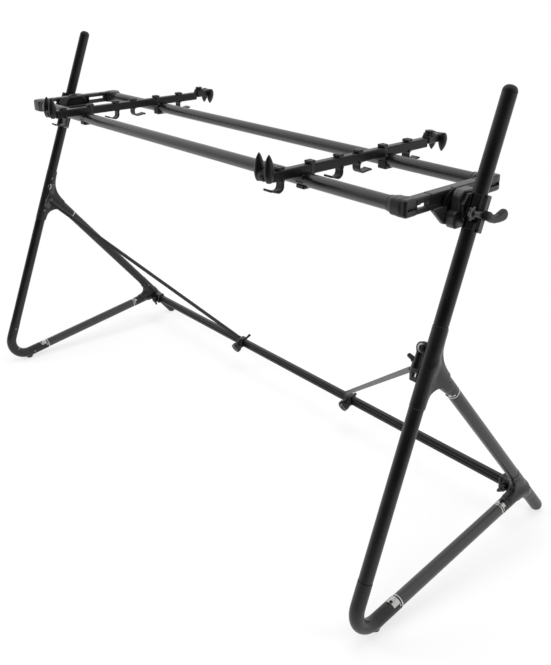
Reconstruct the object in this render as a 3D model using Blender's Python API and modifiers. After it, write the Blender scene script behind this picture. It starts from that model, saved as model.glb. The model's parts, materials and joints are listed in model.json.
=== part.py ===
"""Keyboard stand: two leaning side frames, a braced crossbar and a tilting bed with two support arms.

Units are metres and +Z is up. X runs along the keyboard, and the player sits on the -Y side. Each side
frame lies in a plane of constant X. Its main line leans back from the front elbow to the post's top.
"""

import math

import bmesh
import bpy
from mathutils import Euler, Matrix, Vector

# Driving dimensions of the side frames
HALF_SPAN = 0.684
MAIN_LEAN = math.radians(20.37)
LEG_LEAN = math.radians(39.92)
FLOOR_RISE = math.radians(8.63)
LEG_FOOT_Y = 0.5844
FLOOR_AXIS_HEIGHT = 0.0053
POST_TOP_HEIGHT = 0.9198
MAIN_RADIUS = 0.0127
LEG_RADIUS = 0.0122
CASTING_STEP = 0.0004
TUBE_WALL = 0.0016
SPIGOT_LENGTH = 0.022
SPIGOT_SINK = 0.010
WEB_SINK = 0.001
NECK_LENGTH = 0.009
UPPER_SEAM_HEIGHT = 0.5411
LOWER_SEAM_HEIGHT = 0.4088
BRANCH_LENGTH = 0.098
ELBOW_SEAM_HEIGHT = 0.1201
ELBOW_REACH = 0.1259
ELBOW_BEND_RADIUS = 0.045
PAD_RADIUS = 0.0085
PAD_Y = 0.0745
FOOT_SOCKET_LENGTH = 0.079
FOOT_SLEEVE_LENGTH = 0.072
TOE_CENTRE_HEIGHT = 0.0120
WEB_THICKNESS = 0.014
WEB_UPPER_RADIUS = 0.086
WEB_LOWER_RADIUS = 0.034
FOOT_UPPER_RADIUS = 0.020
FOOT_LOWER_RADIUS = 0.040

# Driving dimensions of the crossbar and its braces
CROSSBAR_Y = 0.5084
CROSSBAR_HEIGHT = 0.0785
CROSSBAR_DEPTH = 0.014
CROSSBAR_TALL = 0.0185
CROSSBAR_GROOVE = 0.0022
CROSSBAR_CORNER = 0.0012
END_BRACKET_LENGTH = 0.034
END_BRACKET_WALL = 0.0035
END_BRACKET_ABOVE = 0.002
END_BRACKET_BELOW = 0.006
END_BORE_SHARE = 0.6
END_LEVER_LENGTH = 0.0135
END_LEVER_DROP = math.radians(50)
CLAMP_X = {"right": 0.202, "left": -0.222}
CLAMP_WIDTH = 0.018
CLAMP_WALL = 0.0035
CLAMP_BOSS_RADIUS = 0.0110
CLAMP_BOSS_REACH = 0.0165
CLAMP_PIN_RADIUS = 0.0032
CLAMP_PIN_REACH = {"right": 0.0205, "left": 0.0300}
CLAMP_DROP = math.radians(25)
CLAMP_KNOB_RADIUS = 0.0145
CLAMP_KNOB_LENGTH = 0.0145
BRACKET_BELOW = 0.0162
BRACKET_HEAD_ABOVE = 0.0383
BRACKET_HEAD_RADIUS = 0.0100
BRACKET_REACH = 0.0150
BRACKET_WIDTH = 0.0125
BRACKET_WINDOW_BELOW = 0.0052
BRACKET_WINDOW_INSET = 0.005
BRACKET_WINDOW_SIZE = (0.006, 0.05, 0.014)
BRACE_TOP_HEIGHT = 0.4612
BRACE_WIDTH = 0.0096
BRACE_THICKNESS = 0.003
WING_ABOVE = 0.0148
WING_REACH = 0.0170
WING_SPAN = 0.011

# Driving dimensions of the bed, level, about its tilt axis
TILT_HEIGHT = 0.7198
BED_TILT = math.radians(0.25)
BED_RISE = 0.0173
FRONT_RAIL_BEFORE = 0.1059
REAR_RAIL_BEHIND = 0.1105
RAIL_RADIUS = 0.0126
SLEEVE_LENGTH = 0.023
SLEEVE_WALL = 0.0014
MEMBER_TO_POST = 0.042
MEMBER_OUTER_X = HALF_SPAN - MEMBER_TO_POST
MEMBER_THICKNESS = 0.019
MEMBER_TALL = 0.028
MEMBER_SLOT_TALL = 0.009
BLOCK_LENGTH = 0.060
BLOCK_OVERHANG = {"front": -0.0030, "rear": 0.0060}
SLOT_START = 0.030
SLOT_END = 0.092
PLATE_THICKNESS = 0.0045
PLATE_RADIUS = 0.0315
GUSSET_HALF_LENGTH = 0.055
GUSSET_DROP = 0.0305
COLLAR_LENGTH = 0.052
COLLAR_WALL = 0.0040
COLLAR_SKIRT = {"right": 0.0, "left": 0.038}
JAW_REACH = 0.0185
HOUSING_DEPTH = 0.050
HOUSING_TALL = 0.063
HOUSING_CORNER = 0.020
HOUSING_SETBACK = 0.012
JAW_WIDTH = 0.0205
JAW_LENGTH = 0.062
JAW_THICKNESS = 0.005
LEVER_HUB_RADIUS = 0.0078
LEVER_HUB_LENGTH = 0.010
LEVER_REACH = 0.050

# Driving dimensions of the support arms
ARM_X = {"right": 0.400, "left": -0.383}
ARM_WIDTH = 0.0165
ARM_TALL = 0.0185
ARM_RISE = 0.0172
ARM_FRONT_Y = -0.186
ARM_REAR_Y = 0.222
HOOK_Y = (-0.165, -0.022, 0.029, 0.168)
HOOK_BAND = 0.0020
HOOK_LENGTH = 0.016
HOOK_DROP = 0.0200
HOOK_REACH = {"front": 0.0265, "rear": 0.0285}
HOOK_TIP_RISE = {"front": 0.006, "rear": 0.0025}
HOOK_BEND = 0.011
HOOK_WALL = 0.0028
RAIL_CLAMP_LENGTH = 0.026
RAIL_CLAMP_WALL = 0.0035
SADDLE_LENGTH = 0.022
SADDLE_HEIGHT = 0.0045
SADDLE_INWARD = 0.0125
STOP_AXIS_LIFT = 0.0050
HORN_HEIGHT = {"front": 0.0375, "rear": 0.0270}
HORN_SPREAD = 0.0268
HORN_WIDTH = 0.0145
HORN_THICKNESS = 0.0095
STOP_LENGTH = {"front": 0.020, "rear": 0.050}
STOP_WIDTH = 0.040
STOP_TALL = 0.017
STOP_KNOB_RADIUS = 0.0095
STOP_KNOB_HEIGHT = 0.0085

CLEARANCE = 0.0003
ROUND_STEPS = 24
SIDES = {"right": 1, "left": -1}

MAIN_DIRECTION = Vector((0, math.sin(MAIN_LEAN), math.cos(MAIN_LEAN)))
MAIN_ACROSS = Vector((0, math.cos(MAIN_LEAN), -math.sin(MAIN_LEAN)))
LEG_DIRECTION = Vector((0, math.sin(LEG_LEAN), -math.cos(LEG_LEAN)))
FLOOR_DIRECTION = Vector((0, math.cos(FLOOR_RISE), math.sin(FLOOR_RISE)))
CASTING_RADIUS = MAIN_RADIUS + CASTING_STEP
FOOT_RADIUS = LEG_RADIUS + CASTING_STEP
MAIN_SPIGOT_RADIUS = MAIN_RADIUS - TUBE_WALL - CLEARANCE
NECK_RADIUS = LEG_RADIUS - TUBE_WALL - CLEARANCE
UPRIGHT = Euler((math.pi / 2, 0, math.pi / 2))
ACROSS = Euler((math.pi / 2, 0, 0))


def clear_scene():
    """Removes every object of the scene."""
    for old in list(bpy.data.objects):
        bpy.data.objects.remove(old, do_unlink=True)


def new_collection(name):
    """A collection linked to the scene."""
    collection = bpy.data.collections.new(name)
    bpy.context.scene.collection.children.link(collection)
    return collection


def new_material(name, colour, roughness, metallic):
    """A Principled material of one colour."""
    material = bpy.data.materials.new(name)
    material.use_nodes = True
    shader = material.node_tree.nodes["Principled BSDF"]
    shader.inputs["Base Color"].default_value = (*colour, 1.0)
    shader.inputs["Roughness"].default_value = roughness
    shader.inputs["Metallic"].default_value = metallic
    return material


clear_scene()
PARTS = new_collection("keyboard_stand")
CUTTERS = new_collection("cutters")
BLACK_TUBE = new_material("black_tube", (0.035, 0.034, 0.036), 0.42, 0.2)
BLACK_CASTING = new_material("black_casting", (0.045, 0.043, 0.044), 0.5, 0.1)
BLACK_RAIL = new_material("black_rail", (0.05, 0.05, 0.053), 0.35, 0.3)
BLACK_PLASTIC = new_material("black_plastic", (0.012, 0.012, 0.013), 0.45, 0.0)
GREY_STEEL = new_material("grey_steel", (0.2, 0.2, 0.21), 0.4, 0.6)


def crossing(point, direction, other_point, other_direction):
    """Where two lines in a plane of constant X meet."""
    gap = other_point - point
    turn = direction.y * other_direction.z - direction.z * other_direction.y
    along = (gap.y * other_direction.z - gap.z * other_direction.y) / turn
    return point + along * direction


def main_point(height):
    """The point of the main line at a height."""
    return Vector((0, height * math.tan(MAIN_LEAN), height))


def at_side(point, side):
    """A point of the frame plane moved to the right or left frame."""
    return Vector((SIDES[side] * HALF_SPAN, point.y, point.z))


LEG_FOOT = Vector((0, LEG_FOOT_Y, 0))
FLOOR_START = Vector((0, 0, FLOOR_AXIS_HEIGHT))
UPPER_JUNCTION = crossing(main_point(0), MAIN_DIRECTION, LEG_FOOT, LEG_DIRECTION)
FOOT_JUNCTION = crossing(FLOOR_START, FLOOR_DIRECTION, LEG_FOOT, LEG_DIRECTION)
ELBOW_CORNER = crossing(FLOOR_START, FLOOR_DIRECTION, main_point(0), MAIN_DIRECTION)


def add_object(name, mesh, material, collection=None):
    """Links an object to the parts, or to another collection."""
    made = bpy.data.objects.new(name, mesh)
    (collection or PARTS).objects.link(made)
    if material:
        mesh.materials.append(material)
    return made


def as_cutter(obj):
    """Moves an object to the cutters, so it is only used by Booleans."""
    if obj.name in PARTS.objects:
        PARTS.objects.unlink(obj)
        CUTTERS.objects.link(obj)
    obj.hide_render = True
    obj.display_type = "WIRE"
    return obj


def smooth(mesh, angle=math.radians(35)):
    """Smooth shading that keeps the sharp edges."""
    mesh.shade_smooth()
    mesh.set_sharp_from_angle(angle=angle)


def rod(name, start, end, radius, material, steps=ROUND_STEPS):
    """A round bar from start to end, with its origin at start."""
    length = (end - start).length
    shape = bmesh.new()
    bmesh.ops.create_cone(
        shape, cap_ends=True, segments=steps, radius1=radius, radius2=radius, depth=length
    )
    bmesh.ops.translate(shape, verts=shape.verts, vec=(0, 0, length / 2))
    mesh = bpy.data.meshes.new(name)
    shape.to_mesh(mesh)
    shape.free()
    smooth(mesh)
    made = add_object(name, mesh, material)
    made.location = start
    made.rotation_euler = (end - start).to_track_quat("Z", "Y").to_euler()
    return made


def tube(name, start, end, radius, material):
    """A tube with open ends."""
    made = rod(name, start, end, radius, material)
    over = (end - start).normalized() * radius
    bore = rod(name + "_bore", start - over, end + over, radius - TUBE_WALL, None)
    return combine(made, "DIFFERENCE", bore)


def block(name, centre, size, material, rotation=None):
    """A rectangular block."""
    shape = bmesh.new()
    bmesh.ops.create_cube(shape, size=1.0)
    bmesh.ops.scale(shape, verts=shape.verts, vec=size)
    mesh = bpy.data.meshes.new(name)
    shape.to_mesh(mesh)
    shape.free()
    made = add_object(name, mesh, material)
    made.location = centre
    if rotation is not None:
        made.rotation_euler = rotation
    return made


def turned(name, profile, centre, rotation, material, steps=ROUND_STEPS):
    """A turned piece: the profile runs down its outer side, as pairs of radius and height."""
    shape = bmesh.new()
    corners = [shape.verts.new((radius, 0, height)) for radius, height in profile]
    for first, second in zip(corners, corners[1:]):
        shape.edges.new((first, second))
    mesh = bpy.data.meshes.new(name)
    shape.to_mesh(mesh)
    shape.free()
    made = add_object(name, mesh, material)
    screw = made.modifiers.new("turn", "SCREW")
    screw.steps = steps
    screw.render_steps = steps
    screw.use_merge_vertices = True
    screw.merge_threshold = 0.0001
    screw.use_smooth_shade = False
    made.location = centre
    made.rotation_euler = rotation
    return made


def mesh_of(curve_object):
    """The mesh of a curve object, with its caps welded, in place of the curve."""
    name = curve_object.name
    bpy.context.view_layer.update()
    graph = bpy.context.evaluated_depsgraph_get()
    mesh = bpy.data.meshes.new_from_object(curve_object.evaluated_get(graph))
    shape = bmesh.new()
    shape.from_mesh(mesh)
    bmesh.ops.remove_doubles(shape, verts=shape.verts, dist=0.00001)
    bmesh.ops.recalc_face_normals(shape, faces=shape.faces)
    shape.to_mesh(mesh)
    shape.free()
    place = curve_object.matrix_world.copy()
    bpy.data.objects.remove(curve_object, do_unlink=True)
    smooth(mesh)
    made = bpy.data.objects.new(name, mesh)
    PARTS.objects.link(made)
    made.matrix_world = place
    return made


def swept(name, points, radius, material, resolution=6):
    """A round bar swept along points."""
    curve = bpy.data.curves.new(name, "CURVE")
    curve.dimensions = "3D"
    curve.bevel_depth = radius
    curve.bevel_resolution = resolution
    curve.use_fill_caps = True
    spline = curve.splines.new("POLY")
    spline.points.add(len(points) - 1)
    for target, point in zip(spline.points, points):
        target.co = (*point, 1)
    curve.materials.append(material)
    made = bpy.data.objects.new(name, curve)
    PARTS.objects.link(made)
    return mesh_of(made)


def plate(name, outline, thickness, centre, rotation, material, hole=None):
    """A flat plate cut from an outline, with an optional hole."""
    curve = bpy.data.curves.new(name, "CURVE")
    curve.dimensions = "2D"
    curve.fill_mode = "BOTH"
    curve.extrude = thickness / 2
    for ring in [outline] + ([hole] if hole else []):
        spline = curve.splines.new("POLY")
        spline.points.add(len(ring) - 1)
        for target, (across, up) in zip(spline.points, ring):
            target.co = (across, up, 0, 1)
        spline.use_cyclic_u = True
    curve.materials.append(material)
    made = bpy.data.objects.new(name, curve)
    PARTS.objects.link(made)
    made.location = centre
    made.rotation_euler = rotation
    return mesh_of(made)


def combine(obj, operation, *others):
    """Adds one Boolean for each other object and turns those objects into cutters."""
    for other in others:
        modifier = obj.modifiers.new(operation.lower(), "BOOLEAN")
        modifier.operation = operation
        modifier.solver = "EXACT"
        modifier.object = as_cutter(other)
    return obj


def rounded(obj, width, segments=2):
    """A Bevel on the sharp edges."""
    bevel = obj.modifiers.new("rounding", "BEVEL")
    bevel.width = width
    bevel.segments = segments
    bevel.limit_method = "ANGLE"
    bevel.angle_limit = math.radians(40)
    return obj


def arc(centre, radius, start, end, steps):
    """Points of an arc in a plane, from one angle to another."""
    turns = [start + (end - start) * i / steps for i in range(steps + 1)]
    return [(centre[0] + radius * math.cos(t), centre[1] + radius * math.sin(t)) for t in turns]


def box_outline(width, height):
    """The four corners of a rectangle round the origin."""
    w, h = width / 2, height / 2
    return [(-w, -h), (w, -h), (w, h), (-w, h)]


def fillet(corner, first, second, offset, radius, steps=10):
    """The web between two round branches: the corner, and an arc that touches both outer sides.

    The branches leave the corner along first and second. Their sides that face each other lie at the
    offset from their axes, and the arc of the radius touches both of those sides.
    """
    half = first.angle(second) / 2
    middle = (first + second).normalized()
    centre = corner + middle * ((offset + radius) / math.sin(half))
    reach = (offset + radius) / math.tan(half)
    touch_first = corner + first * reach - centre
    touch_second = corner + second * reach - centre
    start = math.atan2(touch_first.z, touch_first.y)
    sweep = math.atan2(touch_second.z, touch_second.y) - start
    sweep = (sweep + math.pi) % (2 * math.pi) - math.pi
    curve = arc((centre.y, centre.z), radius, start, start + sweep, steps)
    tips = [corner + first * reach, corner + second * reach]
    return [(tips[0].y, tips[0].z)] + curve + [(tips[1].y, tips[1].z), (corner.y, corner.z)]


def web(name, side, outline):
    """A flat web in the plane of a side frame."""
    centre = Vector((SIDES[side] * HALF_SPAN, 0, 0))
    return plate(name, outline, WEB_THICKNESS, centre, UPRIGHT, BLACK_CASTING)


def post_tube(side):
    """The upper part of the main line, with a domed top."""
    start = main_point(UPPER_SEAM_HEIGHT) + MAIN_DIRECTION * CLEARANCE
    length = (main_point(POST_TOP_HEIGHT) - start).length - MAIN_RADIUS * math.sin(MAIN_LEAN) / 2
    dome = arc((0, length - MAIN_RADIUS * 0.8), 1, math.pi / 2, 0, 7)
    profile = [
        (MAIN_RADIUS * across, length - MAIN_RADIUS * 0.8 + MAIN_RADIUS * 0.8 * (up - dome[-1][1]))
        for across, up in dome
    ]
    profile[0] = (0, length)
    turn = MAIN_DIRECTION.to_track_quat("Z", "Y").to_euler()
    profile += [(MAIN_RADIUS, 0), (0, 0)]
    post = turned("post_tube_" + side, profile, at_side(start, side), turn, BLACK_TUBE)
    bore = rod("post_bore_" + side, at_side(start - MAIN_DIRECTION * MAIN_RADIUS, side),
               at_side(start + MAIN_DIRECTION * (length - 2 * MAIN_RADIUS), side),
               MAIN_RADIUS - TUBE_WALL, None)
    combine(post, "DIFFERENCE", bore)


def upper_joint(side):
    """The casting that carries the post, the lower tube and the rear leg."""
    low = at_side(main_point(LOWER_SEAM_HEIGHT), side)
    high = at_side(main_point(UPPER_SEAM_HEIGHT), side)
    junction = at_side(UPPER_JUNCTION, side)
    end = junction + LEG_DIRECTION * BRANCH_LENGTH
    body = rod("upper_joint_" + side, low, high, CASTING_RADIUS, BLACK_CASTING)
    branch = rod("branch_" + side, junction, end, FOOT_RADIUS, BLACK_CASTING)
    neck = rod("neck_" + side, end - LEG_DIRECTION * SPIGOT_SINK,
               end + LEG_DIRECTION * (NECK_LENGTH + SPIGOT_LENGTH), NECK_RADIUS, GREY_STEEL)
    core = rod("core_" + side, low - MAIN_DIRECTION * SPIGOT_LENGTH, high + MAIN_DIRECTION * SPIGOT_LENGTH,
               MAIN_SPIGOT_RADIUS, GREY_STEEL)
    above = web("web_above_" + side, side, fillet(
        UPPER_JUNCTION, MAIN_DIRECTION, LEG_DIRECTION, FOOT_RADIUS - WEB_SINK, WEB_UPPER_RADIUS))
    below = web("web_below_" + side, side, fillet(
        UPPER_JUNCTION, -MAIN_DIRECTION, LEG_DIRECTION, FOOT_RADIUS - WEB_SINK, WEB_LOWER_RADIUS))
    combine(body, "UNION", core, branch, neck, above, below)


def lower_tube(side):
    """The main line between the casting and the elbow."""
    start = main_point(ELBOW_SEAM_HEIGHT) + MAIN_DIRECTION * CLEARANCE
    end = main_point(LOWER_SEAM_HEIGHT) - MAIN_DIRECTION * CLEARANCE
    tube("lower_tube_" + side, at_side(start, side), at_side(end, side), MAIN_RADIUS, BLACK_TUBE)


def elbow_path():
    """The centre line of the elbow: down the main line, round the bend and along the floor tube."""
    half = MAIN_DIRECTION.angle(FLOOR_DIRECTION) / 2
    middle = (MAIN_DIRECTION + FLOOR_DIRECTION).normalized()
    centre = ELBOW_CORNER + middle * (ELBOW_BEND_RADIUS / math.sin(half))
    reach = ELBOW_BEND_RADIUS / math.tan(half)
    first = ELBOW_CORNER + MAIN_DIRECTION * reach - centre
    last = ELBOW_CORNER + FLOOR_DIRECTION * reach - centre
    start = math.atan2(first.z, first.y)
    sweep = (math.atan2(last.z, last.y) - start) % (2 * math.pi)
    bend = arc((centre.y, centre.z), ELBOW_BEND_RADIUS, start, start + sweep, 14)
    return [main_point(ELBOW_SEAM_HEIGHT)] + [Vector((0, y, z)) for y, z in bend] + [
        ELBOW_CORNER + FLOOR_DIRECTION * (ELBOW_REACH - ELBOW_CORNER.y)
    ]


def front_elbow(side):
    """The bent casting at the front, with the neck that enters the floor tube and a pad below."""
    path = [at_side(point, side) for point in elbow_path()]
    body = swept("front_elbow_" + side, path, CASTING_RADIUS, BLACK_CASTING)
    end = path[-1]
    neck = rod("elbow_neck_" + side, end - FLOOR_DIRECTION * SPIGOT_SINK,
               end + FLOOR_DIRECTION * (NECK_LENGTH + SPIGOT_LENGTH), NECK_RADIUS, GREY_STEEL)
    spigot = rod("elbow_spigot_" + side, path[0] - MAIN_DIRECTION * SPIGOT_SINK,
                 path[0] + MAIN_DIRECTION * SPIGOT_LENGTH, MAIN_SPIGOT_RADIUS, GREY_STEEL)
    axis = FLOOR_START + FLOOR_DIRECTION * (PAD_Y / math.cos(FLOOR_RISE))
    foot = Vector((SIDES[side] * HALF_SPAN, PAD_Y, 0))
    pad = rod("elbow_pad_" + side, foot, foot + Vector((0, 0, axis.z)), PAD_RADIUS, BLACK_PLASTIC, 20)
    combine(body, "UNION", neck, spigot, pad)


def floor_tube(side):
    """The tube along the floor, which rises a little to the rear foot."""
    start = ELBOW_CORNER + FLOOR_DIRECTION * (ELBOW_REACH - ELBOW_CORNER.y + NECK_LENGTH + CLEARANCE)
    end = FOOT_JUNCTION - FLOOR_DIRECTION * (FOOT_SOCKET_LENGTH + NECK_LENGTH + CLEARANCE)
    tube("floor_tube_" + side, at_side(start, side), at_side(end, side), LEG_RADIUS, BLACK_TUBE)


def rear_leg(side):
    """The tube from the casting back and down to the rear foot."""
    start = UPPER_JUNCTION + LEG_DIRECTION * (BRANCH_LENGTH + NECK_LENGTH + CLEARANCE)
    end = FOOT_JUNCTION - LEG_DIRECTION * (FOOT_SLEEVE_LENGTH + CLEARANCE)
    tube("rear_leg_" + side, at_side(start, side), at_side(end, side), LEG_RADIUS, BLACK_TUBE)


def toe_centre():
    """The centre of the toe's round end."""
    return LEG_FOOT - LEG_DIRECTION * (TOE_CENTRE_HEIGHT / math.cos(LEG_LEAN))


def rear_foot(side):
    """The casting at the back: leg socket, floor tube socket and the toe that stands on the floor."""
    top = at_side(FOOT_JUNCTION - LEG_DIRECTION * FOOT_SLEEVE_LENGTH, side)
    toe = at_side(toe_centre(), side)
    length = (toe - top).length
    dome = arc((0, 0), FOOT_RADIUS, 0, math.pi / 2, 7)
    profile = [(across, -up) for across, up in dome]
    profile[-1] = (0, -FOOT_RADIUS)
    profile = [(0, length), (FOOT_RADIUS, length)] + profile
    turn = (-LEG_DIRECTION).to_track_quat("Z", "Y").to_euler()
    body = turned("rear_foot_" + side, profile, toe, turn, BLACK_CASTING)
    junction = at_side(FOOT_JUNCTION, side)
    end = junction - FLOOR_DIRECTION * FOOT_SOCKET_LENGTH
    socket = rod("socket_" + side, junction, end, FOOT_RADIUS, BLACK_CASTING)
    neck = rod("foot_neck_" + side, end + FLOOR_DIRECTION * SPIGOT_SINK,
               end - FLOOR_DIRECTION * (NECK_LENGTH + SPIGOT_LENGTH), NECK_RADIUS, GREY_STEEL)
    spigot = rod("foot_spigot_" + side, top + LEG_DIRECTION * SPIGOT_SINK,
                 top - LEG_DIRECTION * SPIGOT_LENGTH, NECK_RADIUS, GREY_STEEL)
    above = web("foot_web_above_" + side, side, fillet(
        FOOT_JUNCTION, -LEG_DIRECTION, -FLOOR_DIRECTION, FOOT_RADIUS - WEB_SINK, FOOT_UPPER_RADIUS))
    below = web("foot_web_below_" + side, side, fillet(
        FOOT_JUNCTION, LEG_DIRECTION, -FLOOR_DIRECTION, FOOT_RADIUS - WEB_SINK, FOOT_LOWER_RADIUS))
    ground = block("ground_" + side, Vector((toe.x, toe.y, -0.05)), (0.2, 0.2, 0.1), None)
    combine(body, "UNION", socket, neck, spigot, above, below)
    combine(body, "DIFFERENCE", ground)


def crossbar():
    """The grooved bar between the rear feet."""
    half, tall, groove, edge = CROSSBAR_DEPTH / 2, CROSSBAR_TALL / 2, CROSSBAR_GROOVE, CROSSBAR_CORNER
    side_line = [(half - edge, -tall), (half, edge - tall), (half, -groove), (half - groove, 0),
                 (half, groove), (half, tall - edge), (half - edge, tall)]
    outline = side_line + [(-across, -up) for across, up in side_line]
    reach = HALF_SPAN - FOOT_RADIUS - END_BRACKET_LENGTH * 0.6
    hollow = box_outline(CROSSBAR_DEPTH - 2 * CROSSBAR_GROOVE - 2 * TUBE_WALL, CROSSBAR_TALL - 2 * TUBE_WALL)
    centre = Vector((0, CROSSBAR_Y, CROSSBAR_HEIGHT))
    plate("crossbar", outline, 2 * reach, centre, UPRIGHT, BLACK_RAIL, hollow)


def end_bracket(side):
    """The block that hugs the rear foot and holds the crossbar's end."""
    sign = SIDES[side]
    outer = HALF_SPAN - FOOT_RADIUS + 0.004
    inner = HALF_SPAN - FOOT_RADIUS - END_BRACKET_LENGTH
    low = CROSSBAR_HEIGHT - CROSSBAR_TALL / 2 - END_BRACKET_BELOW
    high = CROSSBAR_HEIGHT + CROSSBAR_TALL / 2 + END_BRACKET_ABOVE
    centre = Vector((sign * (inner + outer) / 2, CROSSBAR_Y, (low + high) / 2))
    size = (outer - inner, CROSSBAR_DEPTH + 2 * END_BRACKET_WALL, high - low)
    body = rounded(block("end_bracket_" + side, centre, size, BLACK_PLASTIC), 0.0025)
    gap = 2 * CLEARANCE
    bore_end = HALF_SPAN - FOOT_RADIUS - END_BRACKET_LENGTH * END_BORE_SHARE + CLEARANCE
    bore = block("end_bore_" + side, Vector((sign * (bore_end - 0.05), CROSSBAR_Y, CROSSBAR_HEIGHT)),
                 (0.1, CROSSBAR_DEPTH + gap, CROSSBAR_TALL + gap), None)
    toe = LEG_FOOT + LEG_DIRECTION * 0.05
    far = FOOT_JUNCTION - LEG_DIRECTION * 0.2
    seat = rod("end_seat_" + side, at_side(toe, side), at_side(far, side), FOOT_RADIUS + CLEARANCE, None)
    near = FOOT_JUNCTION - FLOOR_DIRECTION * 0.2
    arm = rod("end_arm_seat_" + side, at_side(FOOT_JUNCTION, side), at_side(near, side),
              FOOT_RADIUS + CLEARANCE, None)
    combine(body, "DIFFERENCE", bore, seat, arm)


def end_lever_axis(side):
    """The point where an end lever's axis meets the front of its bracket."""
    x = SIDES[side] * (HALF_SPAN - FOOT_RADIUS - END_BRACKET_LENGTH * 0.55)
    front = CROSSBAR_Y - CROSSBAR_DEPTH / 2 - END_BRACKET_WALL - CLEARANCE
    return Vector((x, front, CROSSBAR_HEIGHT - 0.004))


def end_lever(side):
    """The thumb lever in front of the crossbar's end."""
    sign = SIDES[side]
    axis = end_lever_axis(side)
    hub = turned("end_lever_" + side, [(0, 0.010), (0.006, 0.010), (0.0075, 0.008), (0.0075, 0), (0, 0)],
                 axis, ACROSS, BLACK_PLASTIC, 20)
    tip = arc((END_LEVER_LENGTH, 0), 0.0055, -math.pi / 2, math.pi / 2, 8)
    outline = [(0.0, -0.005)] + tip + [(0.0, 0.005)]
    paddle = plate("end_paddle_" + side, outline, 0.004, axis - Vector((0, 0.006, 0)), ACROSS, BLACK_PLASTIC)
    paddle.rotation_euler = Euler((math.pi / 2, math.pi / 2 + sign * (math.pi / 2 - END_LEVER_DROP), 0))
    combine(hub, "UNION", paddle)


def brace_ends(side):
    """The two ends of a brace: by the bracket on the main line and on the clamp of the crossbar."""
    sign = SIDES[side]
    top = at_side(main_point(BRACE_TOP_HEIGHT), side)
    top.x -= sign * (CASTING_RADIUS + BRACKET_REACH + BRACE_THICKNESS)
    low = Vector((CLAMP_X[side] - sign * 0.006, CROSSBAR_Y - 0.014,
                  CROSSBAR_HEIGHT + CROSSBAR_TALL / 2 + CLAMP_WALL + 0.0052))
    return top, low


def brace(side):
    """The flat bar from the main line down to the crossbar, on edge."""
    top, low = brace_ends(side)
    line = low - top
    along = line.normalized()
    bar = block("brace_" + side, (top + low) / 2, (BRACE_WIDTH, BRACE_THICKNESS, line.length), GREY_STEEL)
    upward = (Vector((0, 0, 1)) - along * along.z).normalized()
    bar.rotation_euler = Matrix((upward, upward.cross(along), -along)).transposed().to_euler()
    rounded(bar, 0.0008, 1)


def brace_bracket(side):
    """The bracket on the inner side of the main line, with its round head."""
    sign = SIDES[side]
    lean = Euler((-MAIN_LEAN, 0, 0))
    near = WEB_THICKNESS / 2 + 0.0012
    far = CASTING_RADIUS + BRACKET_REACH
    inward = Vector((-sign * (near + far) / 2, 0, 0))
    low = at_side(main_point(BRACE_TOP_HEIGHT - BRACKET_BELOW), side)
    head = at_side(main_point(BRACE_TOP_HEIGHT + BRACKET_HEAD_ABOVE), side)
    size = (far - near, BRACKET_WIDTH, (head - low).length)
    middle = (low + head) / 2 + inward
    body = rounded(block("brace_bracket_" + side, middle, size, BLACK_PLASTIC, lean), 0.002)
    head_at = head + Vector((-sign * (CASTING_RADIUS + BRACKET_HEAD_RADIUS - 0.002), 0, 0))
    ring = rod("bracket_head_" + side, head_at - MAIN_ACROSS * BRACKET_WIDTH * 0.48,
               head_at + MAIN_ACROSS * BRACKET_WIDTH * 0.48, BRACKET_HEAD_RADIUS, BLACK_PLASTIC)
    window_at = at_side(main_point(BRACE_TOP_HEIGHT - BRACKET_WINDOW_BELOW), side)
    window_at.x -= sign * (CASTING_RADIUS + BRACKET_WINDOW_INSET)
    window = block("bracket_window_" + side, window_at, BRACKET_WINDOW_SIZE, None, lean)
    seat = rod("bracket_seat_" + side, at_side(main_point(LOWER_SEAM_HEIGHT - 0.1), side),
               at_side(main_point(UPPER_SEAM_HEIGHT + 0.1), side), CASTING_RADIUS + CLEARANCE, None)
    junction = at_side(UPPER_JUNCTION, side)
    branch_seat = rod("bracket_branch_seat_" + side, junction, junction + LEG_DIRECTION * BRANCH_LENGTH,
                      FOOT_RADIUS + CLEARANCE, None)
    combine(body, "UNION", ring)
    combine(body, "DIFFERENCE", window, seat, branch_seat)


def wing_axis(side):
    """The point where a wing screw's axis meets the inner face of its bracket."""
    return at_side(main_point(BRACE_TOP_HEIGHT + WING_ABOVE), side) - Vector(
        (SIDES[side] * (CASTING_RADIUS + BRACKET_REACH + CLEARANCE), 0, 0))


def wing_screw(side):
    """The wing screw on the inner face of the brace bracket."""
    sign = SIDES[side]
    start = wing_axis(side)
    neck, shoulder = WING_REACH * 0.55, WING_REACH * 0.42
    profile = [(0, neck), (0.004, neck), (0.0052, shoulder), (0.0052, 0), (0, 0)]
    hub = turned("wing_screw_" + side, profile, start, Euler((0, -sign * math.pi / 2, 0)), BLACK_PLASTIC, 20)
    wing = block("wing_" + side, start - Vector((sign * WING_REACH * 0.62, 0, 0)),
                 (WING_REACH * 0.76, WING_SPAN, 0.0035), BLACK_PLASTIC)
    wing.rotation_euler = Euler((math.radians(30), 0, 0))
    combine(hub, "UNION", rounded(wing, 0.0012, 1))


CLAMP_DIRECTION = Vector((0, -math.cos(CLAMP_DROP), -math.sin(CLAMP_DROP)))


def clamp_point(side, reach):
    """A point on the axis of a crossbar clamp's screw, measured from the crossbar's axis to the front."""
    return Vector((CLAMP_X[side], CROSSBAR_Y, CROSSBAR_HEIGHT)) + CLAMP_DIRECTION * reach


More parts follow.
